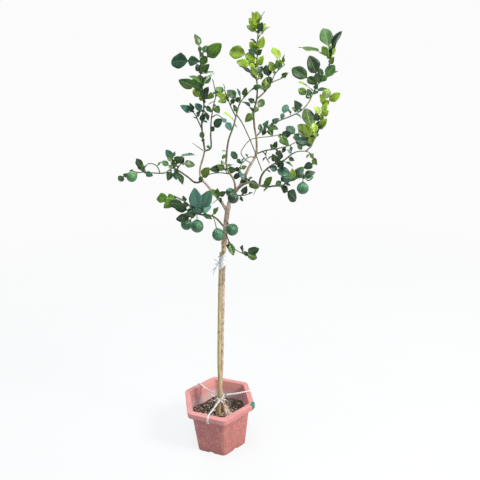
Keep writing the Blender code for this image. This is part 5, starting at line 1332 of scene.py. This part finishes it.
def bark_look(tree, place, shader):
    """Grey-brown bark with pale lichen and dark cracks, greener where the wood is thin."""
    thickness = value_of(tree, "thickness")
    streaks = noise(tree, stretched(tree, place, (1, 1, 0.22)), 420.0, 6.0, 0.65, 0.4)
    patches = noise(tree, place, 46.0, 5.0, 0.6)
    old = ramp(tree, streaks, (0.32, (0.100, 0.062, 0.042)), (0.46, (0.380, 0.255, 0.185)),
               (0.64, (0.700, 0.530, 0.420)))
    old = mixed(tree, ramp(tree, patches, (0.48, 0.0), (0.66, 0.75)), old, (0.700, 0.560, 0.490))
    up = add(tree, "SeparateXYZ", {"Vector": place}).outputs["Z"]
    callus = ramp(tree, up, (0.740, 0.0), (0.752, 0.80), (0.772, 0.70), (0.790, 0.0))
    lumps = noise(tree, place, 150.0, 4.0)
    old = mixed(tree, callus, old, ramp(tree, lumps, (0.40, (0.24, 0.15, 0.07)), (0.58, (0.74, 0.52, 0.27))))
    rings = noise(tree, stretched(tree, place, (0.35, 0.35, 1.6)), 330.0, 3.0)
    old = mixed(tree, ramp(tree, rings, (0.62, 0.0), (0.72, 0.6)), old, (0.07, 0.05, 0.04))
    moss = noise(tree, place, 24.0, 4.0)
    old = mixed(tree, ramp(tree, moss, (0.56, 0.0), (0.70, 0.45)), old, (0.16, 0.17, 0.07))
    young = ramp(tree, streaks, (0.3, (0.040, 0.062, 0.020)), (0.7, (0.150, 0.170, 0.065)))
    thin = ramp(tree, maths(tree, "MULTIPLY", thickness, 100.0), (0.24, 1.0), (0.42, 0.0))
    colour = mixed(tree, thin, old, young)
    height = maths(tree, "MULTIPLY_ADD", streaks, 0.8, maths(tree, "MULTIPLY", rings, 0.5))
    joined(tree, shader, Base_Color=colour, Roughness=0.82, Specular_IOR_Level=0.25,
           Normal=bump(tree, height, 0.9, 0.0011))


def twig_look(tree, place, shader):
    """Green young shoots, a little angled and streaked, browner where they are thick."""
    thickness = value_of(tree, "thickness")
    streaks = noise(tree, place, 240.0, 4.0)
    green = ramp(tree, streaks, (0.3, (0.028, 0.062, 0.012)), (0.7, (0.090, 0.150, 0.032)))
    brown = ramp(tree, streaks, (0.3, (0.050, 0.050, 0.022)), (0.7, (0.150, 0.135, 0.070)))
    thick = ramp(tree, maths(tree, "MULTIPLY", thickness, 100.0), (0.12, 0.0), (0.24, 0.85))
    joined(tree, shader, Base_Color=mixed(tree, thick, green, brown), Roughness=0.55,
           Normal=bump(tree, streaks, 0.5, 0.0006))


def peel_look(pale, dark):
    """Citrus rind between two greens: oil glands as small pits, waxy gloss, a brown star where it hangs, and painted
    shade on the underside.
    """
    def build(tree, place, shader):
        broad = noise(tree, place, 48.0, 4.0)
        pores = add(tree, "TexVoronoi", {"Vector": place, "Scale": 720.0}).outputs["Distance"]
        wens = noise(tree, place, 175.0, 3.0, 0.6)
        colour = mixed(tree, ramp(tree, broad, (0.30, 0.0), (0.66, 1.0)), dark, pale)
        colour = mixed(tree, ramp(tree, pores, (0.10, 0.65), (0.50, 0.0)), colour, dark)
        colour = mixed(tree, ramp(tree, wens, (0.38, 0.85), (0.52, 0.0)), colour, dark)
        # Painted shade: the rind is darkened where it faces down, standing in for the shadow on the fruit's underside.
        facing = add(tree, "SeparateXYZ", {"Vector": add(tree, "NewGeometry").outputs["Normal"]}).outputs["Z"]
        colour = mixed(tree, ramp(tree, maths(tree, "MULTIPLY_ADD", facing, 0.5, 0.5), (0.20, 0.95), (0.60, 0.0)),
                       colour, mixed(tree, 0.20, dark, pale))
        scars = ramp(tree, noise(tree, place, 150.0, 5.0, 0.7), (0.66, 0.0), (0.72, 0.7))
        colour = mixed(tree, scars, colour, (0.30, 0.26, 0.12))
        colour = mixed(tree, value_of(tree, "calyx"), colour, (0.13, 0.12, 0.045))
        relief = maths(tree, "MULTIPLY_ADD", wens, 1.6, maths(tree, "MULTIPLY", pores, 0.7))
        joined(tree, shader, Base_Color=colour, Roughness=maths(tree, "MULTIPLY_ADD", broad, 0.2, 0.26),
               Specular_IOR_Level=0.50, Coat_Weight=0.22, Coat_Roughness=0.30,
               Normal=bump(tree, relief, 0.8, 0.0011))
    return build


def cane_look(tree, place, shader):
    """Weathered bamboo: long fibres, dark blotches, and a pale waxy band under each dark joint."""
    fibres = noise(tree, stretched(tree, place, (1, 1, 0.035)), 700.0, 4.0, 0.6)
    blotches = noise(tree, stretched(tree, place, (1, 1, 0.3)), 60.0, 5.0, 0.6)
    colour = ramp(tree, fibres, (0.32, (0.220, 0.165, 0.072)), (0.52, (0.470, 0.365, 0.165)),
                  (0.72, (0.640, 0.530, 0.290)))
    colour = mixed(tree, ramp(tree, blotches, (0.52, 0.0), (0.68, 0.65)), colour, (0.170, 0.135, 0.070))
    colour = mixed(tree, ramp(tree, noise(tree, place, 26.0), (0.5, 0.0), (0.7, 0.4)), colour, (0.40, 0.38, 0.17))
    up = add(tree, "SeparateXYZ", {"Vector": place}).outputs["Z"]
    for node in CANE_NODES:
        off = maths(tree, "ABSOLUTE", maths(tree, "SUBTRACT", up, node + 0.003))
        dark = ramp(tree, maths(tree, "MULTIPLY", off, 100.0), (0.14, 1.0), (0.42, 0.0))
        colour = mixed(tree, maths(tree, "MULTIPLY", dark, 0.45), colour, (0.085, 0.065, 0.035))
        pale = maths(tree, "ABSOLUTE", maths(tree, "SUBTRACT", up, node - 0.006))
        band = ramp(tree, maths(tree, "MULTIPLY", pale, 100.0), (0.15, 0.3), (0.4, 0.0))
        colour = mixed(tree, band, colour, (0.55, 0.52, 0.36))
    joined(tree, shader, Base_Color=colour, Roughness=maths(tree, "MULTIPLY_ADD", blotches, 0.3, 0.35),
           Normal=bump(tree, fibres, 0.55, 0.0006))


def tape_look(tree, place, shader):
    """Stretched white tape: faint wrinkles along it, a little dirt, soft sheen."""
    wrinkles = noise(tree, stretched(tree, place, (1, 1, 4)), 420.0, 4.0)
    dirt, _ = grime(tree, place, 90.0)
    creased = ramp(tree, wrinkles, (0.36, (0.60, 0.59, 0.56)), (0.52, (0.78, 0.78, 0.77)), (0.70, (0.90, 0.91, 0.92)))
    colour = mixed(tree, maths(tree, "MULTIPLY", dirt, 0.35), creased, (0.46, 0.42, 0.35))
    joined(tree, shader, Base_Color=colour, Roughness=0.42, Subsurface_Weight=0.05, Subsurface_Scale=0.003,
           Normal=bump(tree, wrinkles, 0.6, 0.0006))


def twine_look(tree, place, shader):
    """Shiny white split film, with fine lines along each strand."""
    uv = add(tree, "TexCoord").outputs["UV"]
    lines = noise(tree, stretched(tree, uv, (26, 2, 1)), 5.0, 3.0)
    colour = ramp(tree, lines, (0.3, (0.66, 0.66, 0.66)), (0.6, (0.90, 0.90, 0.89)))
    dirt, _ = grime(tree, place, 60.0)
    colour = mixed(tree, maths(tree, "MULTIPLY", dirt, 0.25), colour, (0.55, 0.50, 0.42))
    joined(tree, shader, Base_Color=colour, Roughness=0.36, Subsurface_Weight=0.1, Subsurface_Scale=0.002,
           Normal=bump(tree, lines, 0.7, 0.0005))


def pot_look(tree, place, shader):
    """Pink moulded plastic with dust, water marks and soil stains; the lip is painted paler as painted light, and a
    painted shadow lies in streaks just under the lip.
    """
    split = add(tree, "SeparateXYZ", {"Vector": place})
    up = split.outputs["Z"]
    mask, specks = grime(tree, place, 13.0)
    grain = noise(tree, place, 900.0, 4.0, 0.65)
    cloudy = noise(tree, place, 30.0, 6.0, 0.6)
    colour = ramp(tree, cloudy, (0.30, (0.440, 0.118, 0.105)), (0.52, (0.620, 0.190, 0.160)),
                  (0.76, (0.760, 0.300, 0.245)))
    speckle = noise(tree, place, 330.0, 3.0, 0.8)
    coarse = noise(tree, place, 150.0, 3.0, 0.7)
    colour = mixed(tree, ramp(tree, coarse, (0.38, 0.65), (0.50, 0.0)), colour, (0.235, 0.062, 0.070))
    colour = mixed(tree, ramp(tree, coarse, (0.55, 0.0), (0.66, 0.60)), colour, (0.80, 0.42, 0.36))
    colour = mixed(tree, ramp(tree, speckle, (0.40, 0.60), (0.54, 0.0)), colour, (0.25, 0.070, 0.075))
    colour = mixed(tree, ramp(tree, speckle, (0.58, 0.0), (0.72, 0.45)), colour, (0.78, 0.40, 0.35))
    colour = mixed(tree, ramp(tree, grain, (0.36, 0.50), (0.60, 0.0)), colour, (0.27, 0.075, 0.075))
    # Painted light: the lip is painted paler, more towards its top, standing in for the light falling on the rim.
    lip_painted_light = ramp(tree, up, (POT_HEIGHT - 0.0225, 0.0), (POT_HEIGHT - 0.0215, 0.45), (POT_HEIGHT, 0.70))
    colour = mixed(tree, lip_painted_light, colour, (0.640, 0.262, 0.245))
    colour = mixed(tree, maths(tree, "MULTIPLY", mask, 0.30), colour, (0.40, 0.20, 0.155))
    # Painted shadow: a dark band just under the lip's overhang, broken into streaks by the drips noise.
    under_lip_shadow = ramp(tree, up, (0.118, 0.0), (0.152, 0.85), (0.1555, 1.0), (0.1565, 0.0))
    drips = noise(tree, stretched(tree, place, (1, 1, 0.25)), 120.0, 5.0, 0.65)
    painted_lip_shadow = maths(tree, "MULTIPLY", under_lip_shadow, ramp(tree, drips, (0.42, 0.0), (0.62, 0.75)))
    colour = mixed(tree, painted_lip_shadow, colour, (0.245, 0.105, 0.085))
    foot = maths(tree, "MULTIPLY", ramp(tree, up, (0.0, 1.0), (0.030, 0.0)), ramp(tree, drips, (0.4, 0.1), (0.6, 0.75)))
    colour = mixed(tree, foot, colour, (0.26, 0.13, 0.10))
    colour = mixed(tree, maths(tree, "MULTIPLY", specks, 0.45), colour, (0.30, 0.17, 0.13))
    flat_out = add(tree, "CombineXYZ", {"X": split.outputs["X"], "Y": split.outputs["Y"]}).outputs["Vector"]
    facing = add(tree, "NewGeometry").outputs["Normal"]
    toward = add(tree, "VectorMath", {0: flat_out, 1: facing}, operation="DOT_PRODUCT").outputs["Value"]
    inside = ramp(tree, maths(tree, "MULTIPLY_ADD", toward, 4.0, 0.5), (0.10, 1.0), (0.35, 0.0))
    tide = maths(tree, "MULTIPLY_ADD", drips, 0.030, up)
    colour = mixed(tree, maths(tree, "MULTIPLY", inside, 0.55), colour, (0.900, 0.400, 0.370))
    crust = maths(tree, "MULTIPLY", inside, ramp(tree, tide, (0.118, 0.92), (0.142, 0.70), (0.160, 0.05)))
    colour = mixed(tree, crust, colour, mixed(tree, drips, (0.44, 0.30, 0.29), (0.74, 0.60, 0.60)))
    height = maths(tree, "MULTIPLY_ADD", grain, 0.5, maths(tree, "MULTIPLY", cloudy, 0.8))
    rough = maths(tree, "MULTIPLY_ADD", mask, 0.25, 0.46)
    joined(tree, shader, Base_Color=colour, Roughness=rough, Specular_IOR_Level=0.4,
           Normal=bump(tree, height, 0.35, 0.0008))


def clip_look(tree, place, shader):
    """Emerald plastic, with patchy scuffs and dust."""
    scuffs = noise(tree, stretched(tree, place, (1, 3, 1)), 260.0, 5.0, 0.7)
    mask, specks = grime(tree, place, 70.0)
    colour = mixed(tree, ramp(tree, scuffs, (0.5, 0.0), (0.72, 0.5)), (0.001, 0.170, 0.085), (0.010, 0.290, 0.155))
    colour = mixed(tree, maths(tree, "MULTIPLY", mask, 0.15), colour, (0.25, 0.40, 0.28))
    joined(tree, shader, Base_Color=colour, Roughness=maths(tree, "MULTIPLY_ADD", scuffs, 0.3, 0.22),
           Normal=bump(tree, scuffs, 0.3, 0.0005))


def soil_look(tree, place, shader):
    """Dark wet mix: black-brown crumbs with paler fibres, redder in patches."""
    crumbs = add(tree, "TexVoronoi", {"Vector": place, "Scale": 420.0}).outputs["Distance"]
    grain = noise(tree, place, 330.0, 7.0, 0.75)
    patches = noise(tree, place, 22.0, 4.0)
    colour = ramp(tree, grain, (0.30, (0.022, 0.014, 0.010)), (0.50, (0.090, 0.056, 0.038)),
                  (0.66, (0.210, 0.140, 0.100)), (0.80, (0.420, 0.320, 0.240)))
    colour = mixed(tree, ramp(tree, patches, (0.46, 0.0), (0.66, 0.65)), colour, (0.105, 0.050, 0.030))
    height = maths(tree, "MULTIPLY_ADD", grain, 1.0, crumbs)
    joined(tree, shader, Base_Color=colour, Roughness=0.93, Specular_IOR_Level=0.2,
           Normal=bump(tree, height, 1.0, 0.003))


def bits_look(dark, middle, pale):
    """Loose bits on the soil: fibrous, each with its own tone between three colours."""
    def build(tree, place, shader):
        fibres = noise(tree, stretched(tree, place, (1, 0.4, 1)), 520.0, 5.0, 0.7)
        mix = maths(tree, "MULTIPLY_ADD", fibres, 0.5, maths(tree, "SUBTRACT", value_of(tree, "tone"), 0.25))
        colour = ramp(tree, mix, (0.1, dark), (0.5, middle), (0.95, pale))
        joined(tree, shader, Base_Color=colour, Roughness=0.85, Normal=bump(tree, fibres, 0.8, 0.001))
    return build


SEEN_WHITE = 0.97


def ground_look(tree, place, shader):
    """A matt studio floor that throws only a little light back; far off it glows as brightly as the sky."""
    soft = noise(tree, place, 2.2, 3.0)
    joined(tree, shader, Base_Color=ramp(tree, soft, (0.3, 0.62), (0.7, 0.66)), Roughness=0.95,
           Specular_IOR_Level=0.1)
    glow = add(tree, "Emission", {"Color": (1, 1, 1, 1), "Strength": SEEN_WHITE})
    reach = add(tree, "VectorMath", {0: place}, operation="LENGTH").outputs["Value"]
    share = ramp(tree, maths(tree, "MULTIPLY", reach, 0.25), (0.05, 0.84), (0.90, 1.0))
    seen = maths(tree, "MULTIPLY", add(tree, "LightPath").outputs["Is Camera Ray"], share)
    both = add(tree, "MixShader", {0: seen, 1: shader.outputs["BSDF"], 2: glow.outputs["Emission"]})
    tree.links.new(both.outputs["Shader"], tree.nodes["Material Output"].inputs["Surface"])


def make_camera():
    """The photograph's view: the sheet's eye, pitched down and rolled, with the sheet's scale as its lens."""
    data = bpy.data.cameras.new("eye")
    data.sensor_width = SENSOR_WIDTH
    data.lens = SHEET_SCALE / (2 * SHEET_MIDDLE) * SENSOR_WIDTH
    data.clip_start = 0.05
    camera = bpy.data.objects.new("eye", data)
    bpy.context.scene.collection.objects.link(camera)
    ahead = Vector((0, math.cos(EYE_PITCH), -math.sin(EYE_PITCH)))
    right, up = Vector((1, 0, 0)), Vector((0, math.sin(EYE_PITCH), math.cos(EYE_PITCH)))
    across = right * math.cos(EYE_ROLL) + up * math.sin(EYE_ROLL)
    above = up * math.cos(EYE_ROLL) - right * math.sin(EYE_ROLL)
    turn = Matrix((across, above, -ahead)).transposed().to_4x4()
    camera.matrix_world = Matrix.Translation(EYE) @ turn
    bpy.context.scene.camera = camera


def area_light(name, place, target, size, power, colour):
    data = bpy.data.lights.new(name, "AREA")
    data.shape = "DISK"
    data.size = size
    data.energy = power
    data.color = colour
    light = bpy.data.objects.new(name, data)
    light.location = place
    light.rotation_euler = (Vector(target) - Vector(place)).to_track_quat("-Z", "Y").to_euler()
    bpy.context.scene.collection.objects.link(light)


FLOOR_REACH = 30


def make_stage():
    """A floor that reaches to the horizon, soft light from the sky, and a broad sun from the right."""
    turn = np.arange(64) * 2 * math.pi / 64
    ring = np.stack([FLOOR_REACH * np.cos(turn), FLOOR_REACH * np.sin(turn), 0 * turn - 0.0004], 1)
    mesh = bpy.data.meshes.new("studio_floor")
    mesh.from_pydata(ring.tolist(), [], [list(range(64))])
    mesh.materials.append(material("studio_white", ground_look))
    floor = bpy.data.objects.new("studio_floor", mesh)
    bpy.context.scene.collection.objects.link(floor)

    world = bpy.data.worlds.new("sky")
    world.use_nodes = True
    bpy.context.scene.world = world
    tree = world.node_tree
    place = add(tree, "TexCoord").outputs["Generated"]
    up = add(tree, "SeparateXYZ", {"Vector": place}).outputs["Z"]
    sky = ramp(tree, maths(tree, "MULTIPLY_ADD", up, 0.5, 0.5), (0.42, (0.14, 0.14, 0.15)),
           (0.56, (0.26, 0.28, 0.30)), (0.80, (0.50, 0.62, 0.72)))
    seen = mixed(tree, add(tree, "LightPath").outputs["Is Camera Ray"], sky, (SEEN_WHITE, SEEN_WHITE, SEEN_WHITE))
    tree.links.new(seen, tree.nodes["Background"].inputs["Color"])
    bpy.context.scene.view_settings.view_transform = "Standard"

    area_light("sun", (3.0, -1.7, 3.3), (0.05, 0, 0.8), 1.1, 225, (1.0, 0.97, 0.92))
    area_light("sky_above", (-0.4, -0.6, 4.2), (0.05, 0, 1.0), 1.8, 80, (0.84, 0.95, 1.0))
    area_light("behind", (-1.2, 2.6, 3.0), (0.05, 0, 1.1), 1.6, 35, (0.94, 0.98, 1.0))


def make_wood(routes, spurs, stalks, looks):
    bark = [wood(*TRUNK_LINE, "stem", 28, 0.0025, 0.075, 0.075, 0.16)]
    for (name, _, _, _), (points, radii) in zip(LIMBS[1:], routes["trunk"][1:]):
        bark.append(wood(points, radii, name, 18, 0.003, 0.06, 0.045, 0.16))
    for k, route in enumerate(SURFACE_ROOTS):
        points = millimetres(route)
        bark.append(wood(points, tapered(points, *SURFACE_ROOT_RADIUS), "root %d" % k, 14, 0.003, 0.10, 0.02))
    for k, thorn in enumerate(THORNS):
        points = [placed(*point) for point in thorn]
        bark.append(wood(points, [THORN_RADIUS, THORN_RADIUS * 0.4], "thorn %d" % k, 8, 0.003, 0.03))
    bark += small_stems("trunk", spurs, stalks)
    piece("bark_trunk", bark, looks["bark"], ["trunk"])


def small_stems(name, spurs, stalks):
    """The spurs that other shoots grow from, and the stalks that fruits hang on."""
    made = []
    for k, (foot, tip, radius) in enumerate(spurs.get(name, [])):
        made.append(wood([foot, tip], [radius * 1.2, radius], "%s spur %d" % (name, k), 12, 0.002, 0.05))
    for k, points in enumerate(stalks.get(name, [])):
        radii = [STALK_RADIUS * 1.1, STALK_RADIUS * 0.9, STALK_RADIUS * 1.15]
        made.append(wood(points, radii, "%s stalk %d" % (name, k), 10, 0.002, 0.05))
    return made


def make_shoots(routes, spurs, stalks, leaves, looks):
    for shoot in SHOOTS:
        name = shoot[0]
        stems = []
        for k, (points, radii) in enumerate(routes[name]):
            stems.append(wood(points, radii, "%s %d" % (name, k), 10, 0.003, 0.04, 0.02, 0.22))
        stems += small_stems(name, spurs, stalks)
        piece(name + "_stems", stems, looks["twig"], [name])
        blades = [blade(leaf, kind, "%s %d" % (name, k)) for k, (leaf, kind) in enumerate(leaves[name])]
        piece(name + "_blades", blades, looks["leaf"], [name])


def make_fruits(looks):
    for name, _, middle, foot, radius in FRUITS:
        look = FRUIT_LOOKS.get(name, "peel")
        patches = fruit_patches(name, placed(*middle), placed(*foot), radius * MM)
        piece(name + "_rind", patches, looks[look], [name])


def make_bindings(looks):
    wrap = around_two(WRAP_LOW, WRAP_HIGH, WRAP_TURNS, 120, TAPE_RADIUS * 0.55, WRAP_TILT)
    bands = [tape_patch(wrap, 0.0046, 0.0008, "wrap")]
    bands += [loose_end(route, WRAP_END_WIDTH, "wrap end %d" % k) for k, route in enumerate(WRAP_ENDS)]
    piece("tape_wrap", bands, looks["tape"], ["graft_wrap"])

    knot = around_two(KNOT_LOW, KNOT_HIGH, 2.1, 60, TAPE_RADIUS + BAND_GAP * 0.6)
    strands = twine_patches(knot, TAPE_RADIUS * 1.05, "knot")
    strands += [loose_end(route, KNOT_END_WIDTH, "knot end %d" % k) for k, route in enumerate(KNOT_ENDS)]
    piece("twine_knot", strands, looks["twine"], ["base_knot"])

    for name, angle, start, sag in TIES:
        angle, knot_end = math.radians(angle), Vector(start) * MM
        turn = TIE_STRANDS_APART / LIP_CIRCUMRADIUS
        side = Vector((-math.sin(angle), math.cos(angle), 0)) * (TIE_START_APART / 2)
        points = tie_strand(angle - turn, knot_end - side, sag * MM)
        points += reversed(tie_strand(angle + turn, knot_end + side, sag * MM * 0.6))
        piece(name + "_twine", twine_patches(points, TWINE_RADIUS * 1.05, name, 3, 0.016), looks["twine"],
              [name])


def make_ground(looks):
    piece("soil_bed", [soil_patch()], looks["soil"], ["soil"])
    piece("bark_chips", scattered("chips", CHIP_COUNT, 0.0022, 0.0085, (1.0, 0.42, 0.20), (0.2, 0.9)),
          looks["chips"])
    shards = scattered("shards", 46, 0.0045, 0.0105, (1.0, 0.55, 0.30), (0.35, 1.0), (0.040, -0.030, 0.020))
    shards += scattered("foot bits", 34, 0.0035, 0.0080, (1.0, 0.6, 0.35), (0.0, 0.5), (0.022, -0.004, 0.014))
    piece("bark_shards", shards, looks["shards"])
    piece("pale_grit", scattered("grit", STONE_COUNT, 0.0010, 0.0034, (1.0, 0.8, 0.65), (0.3, 1.0)),
          looks["grit"])
    piece("soil_crumbs", scattered("crumbs", CRUMB_COUNT, 0.0012, 0.0044, (1.0, 0.85, 0.7), (0.0, 0.8)),
          looks["crumbs"])


def dress_node(name, look, edge):
    """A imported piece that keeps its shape: it gets its material and finely rounded edges."""
    node = frame["nodes"][name]
    node.data.materials.clear()
    node.data.materials.append(look)
    bevel = node.modifiers.new("fine_edges", "BEVEL")
    bevel.width = edge
    bevel.segments = 2
    bevel.limit_method = "ANGLE"
    bevel.angle_limit = math.radians(32)
    bevel.harden_normals = True
    node.data.shade_smooth()


# Loose ends of the graft tape and of the knot, in mm
WRAP_END_WIDTH = 0.0027
WRAP_ENDS = [
    [(14, -20, 704), (6, -23, 703), (-1, -25, 699), (-6, -26, 697)],
    [(12, -20, 690), (3, -23, 687), (-3, -24, 681), (-4, -25, 672)],
    [(20, -19, 728), (30, -17, 733), (37, -14, 734)],
    [(22, -20, 714), (17, -24, 703), (10, -25, 690), (3, -24, 674), (1, -23, 664)],
    [(8, -21, 722), (15, -24, 716), (23, -23, 707), (27, -20, 698)],
]
KNOT_END_WIDTH = 0.0021
KNOT_ENDS = [
    [(10, -22, 181), (18, -25, 188), (26, -27, 196), (29, -28, 203)],
    [(12, -22, 180), (24, -27, 184), (34, -30, 182), (40, -31, 176)],
    [(2, -24, 182), (-8, -29, 186), (-18, -30, 183), (-14, -29, 177), (-3, -25, 179)],
    [(6, -25, 180), (0, -30, 172), (-7, -32, 163), (-16, -34, 158)],
    [(8, -25, 181), (16, -31, 174), (20, -34, 164)],
    [(-4, -20, 183), (-14, -12, 186), (-20, -4, 187), (-28, 6, 185)],
]
FRUIT_LOOKS = {"fruit_fork_front": "dark_peel", "fruit_left_tip": "pale_peel"}
LOOKS = {
    "leaf": leaf_look, "bark": bark_look, "twig": twig_look, "cane": cane_look, "tape": tape_look,
    "twine": twine_look, "pot": pot_look, "clip": clip_look, "soil": soil_look,
    "peel": peel_look((0.080, 0.260, 0.110), (0.008, 0.060, 0.018)),
    "dark_peel": peel_look((0.026, 0.085, 0.022), (0.004, 0.022, 0.005)),
    "pale_peel": peel_look((0.110, 0.290, 0.080), (0.022, 0.110, 0.022)),
    "chips": bits_look((0.060, 0.036, 0.025), (0.215, 0.135, 0.088), (0.520, 0.410, 0.310)),
    "shards": bits_look((0.150, 0.036, 0.020), (0.330, 0.190, 0.130), (0.760, 0.640, 0.540)),
    "grit": bits_look((0.160, 0.135, 0.110), (0.420, 0.370, 0.310), (0.740, 0.690, 0.620)),
    "crumbs": bits_look((0.016, 0.011, 0.008), (0.085, 0.052, 0.036), (0.240, 0.155, 0.105)),
}

make_camera()
CANE_POINTS = millimetres(CANE_ROUTE)
CANE_LINE = (CANE_POINTS, tapered(CANE_POINTS, *CANE_RADIUS))
STEM_POINTS = millimetres(STEM_FOOT) + [placed(*point) for point in LIMBS[0][3]]
STEM_RADII = [radius * MM for radius in STEM_FOOT_RADII]
STEM_RADII += tapered(STEM_POINTS[len(STEM_FOOT):], LIMBS[0][1] * MM, LIMBS[0][2] * MM)
TRUNK_LINE = swollen(STEM_POINTS, STEM_RADII, [GRAFT_HEIGHT], GRAFT_LENGTH, GRAFT_SWELL)

ROUTES, SPURS, PLAN, STALKS = grow()
LEAVES = set_leaves(ROUTES, PLAN, STALKS)
looks = {name: material(name + "_look", build) for name, build in LOOKS.items()}
make_wood(ROUTES, SPURS, STALKS, looks)
make_shoots(ROUTES, SPURS, STALKS, LEAVES, looks)
make_fruits(looks)
piece("bamboo_cane", [cane_patch(CANE_LINE)], looks["cane"], ["stake"])
make_bindings(looks)
make_ground(looks)
dress_node("pot", looks["pot"], 0.0009)
dress_node("rim_clip", looks["clip"], 0.0005)
make_stage()
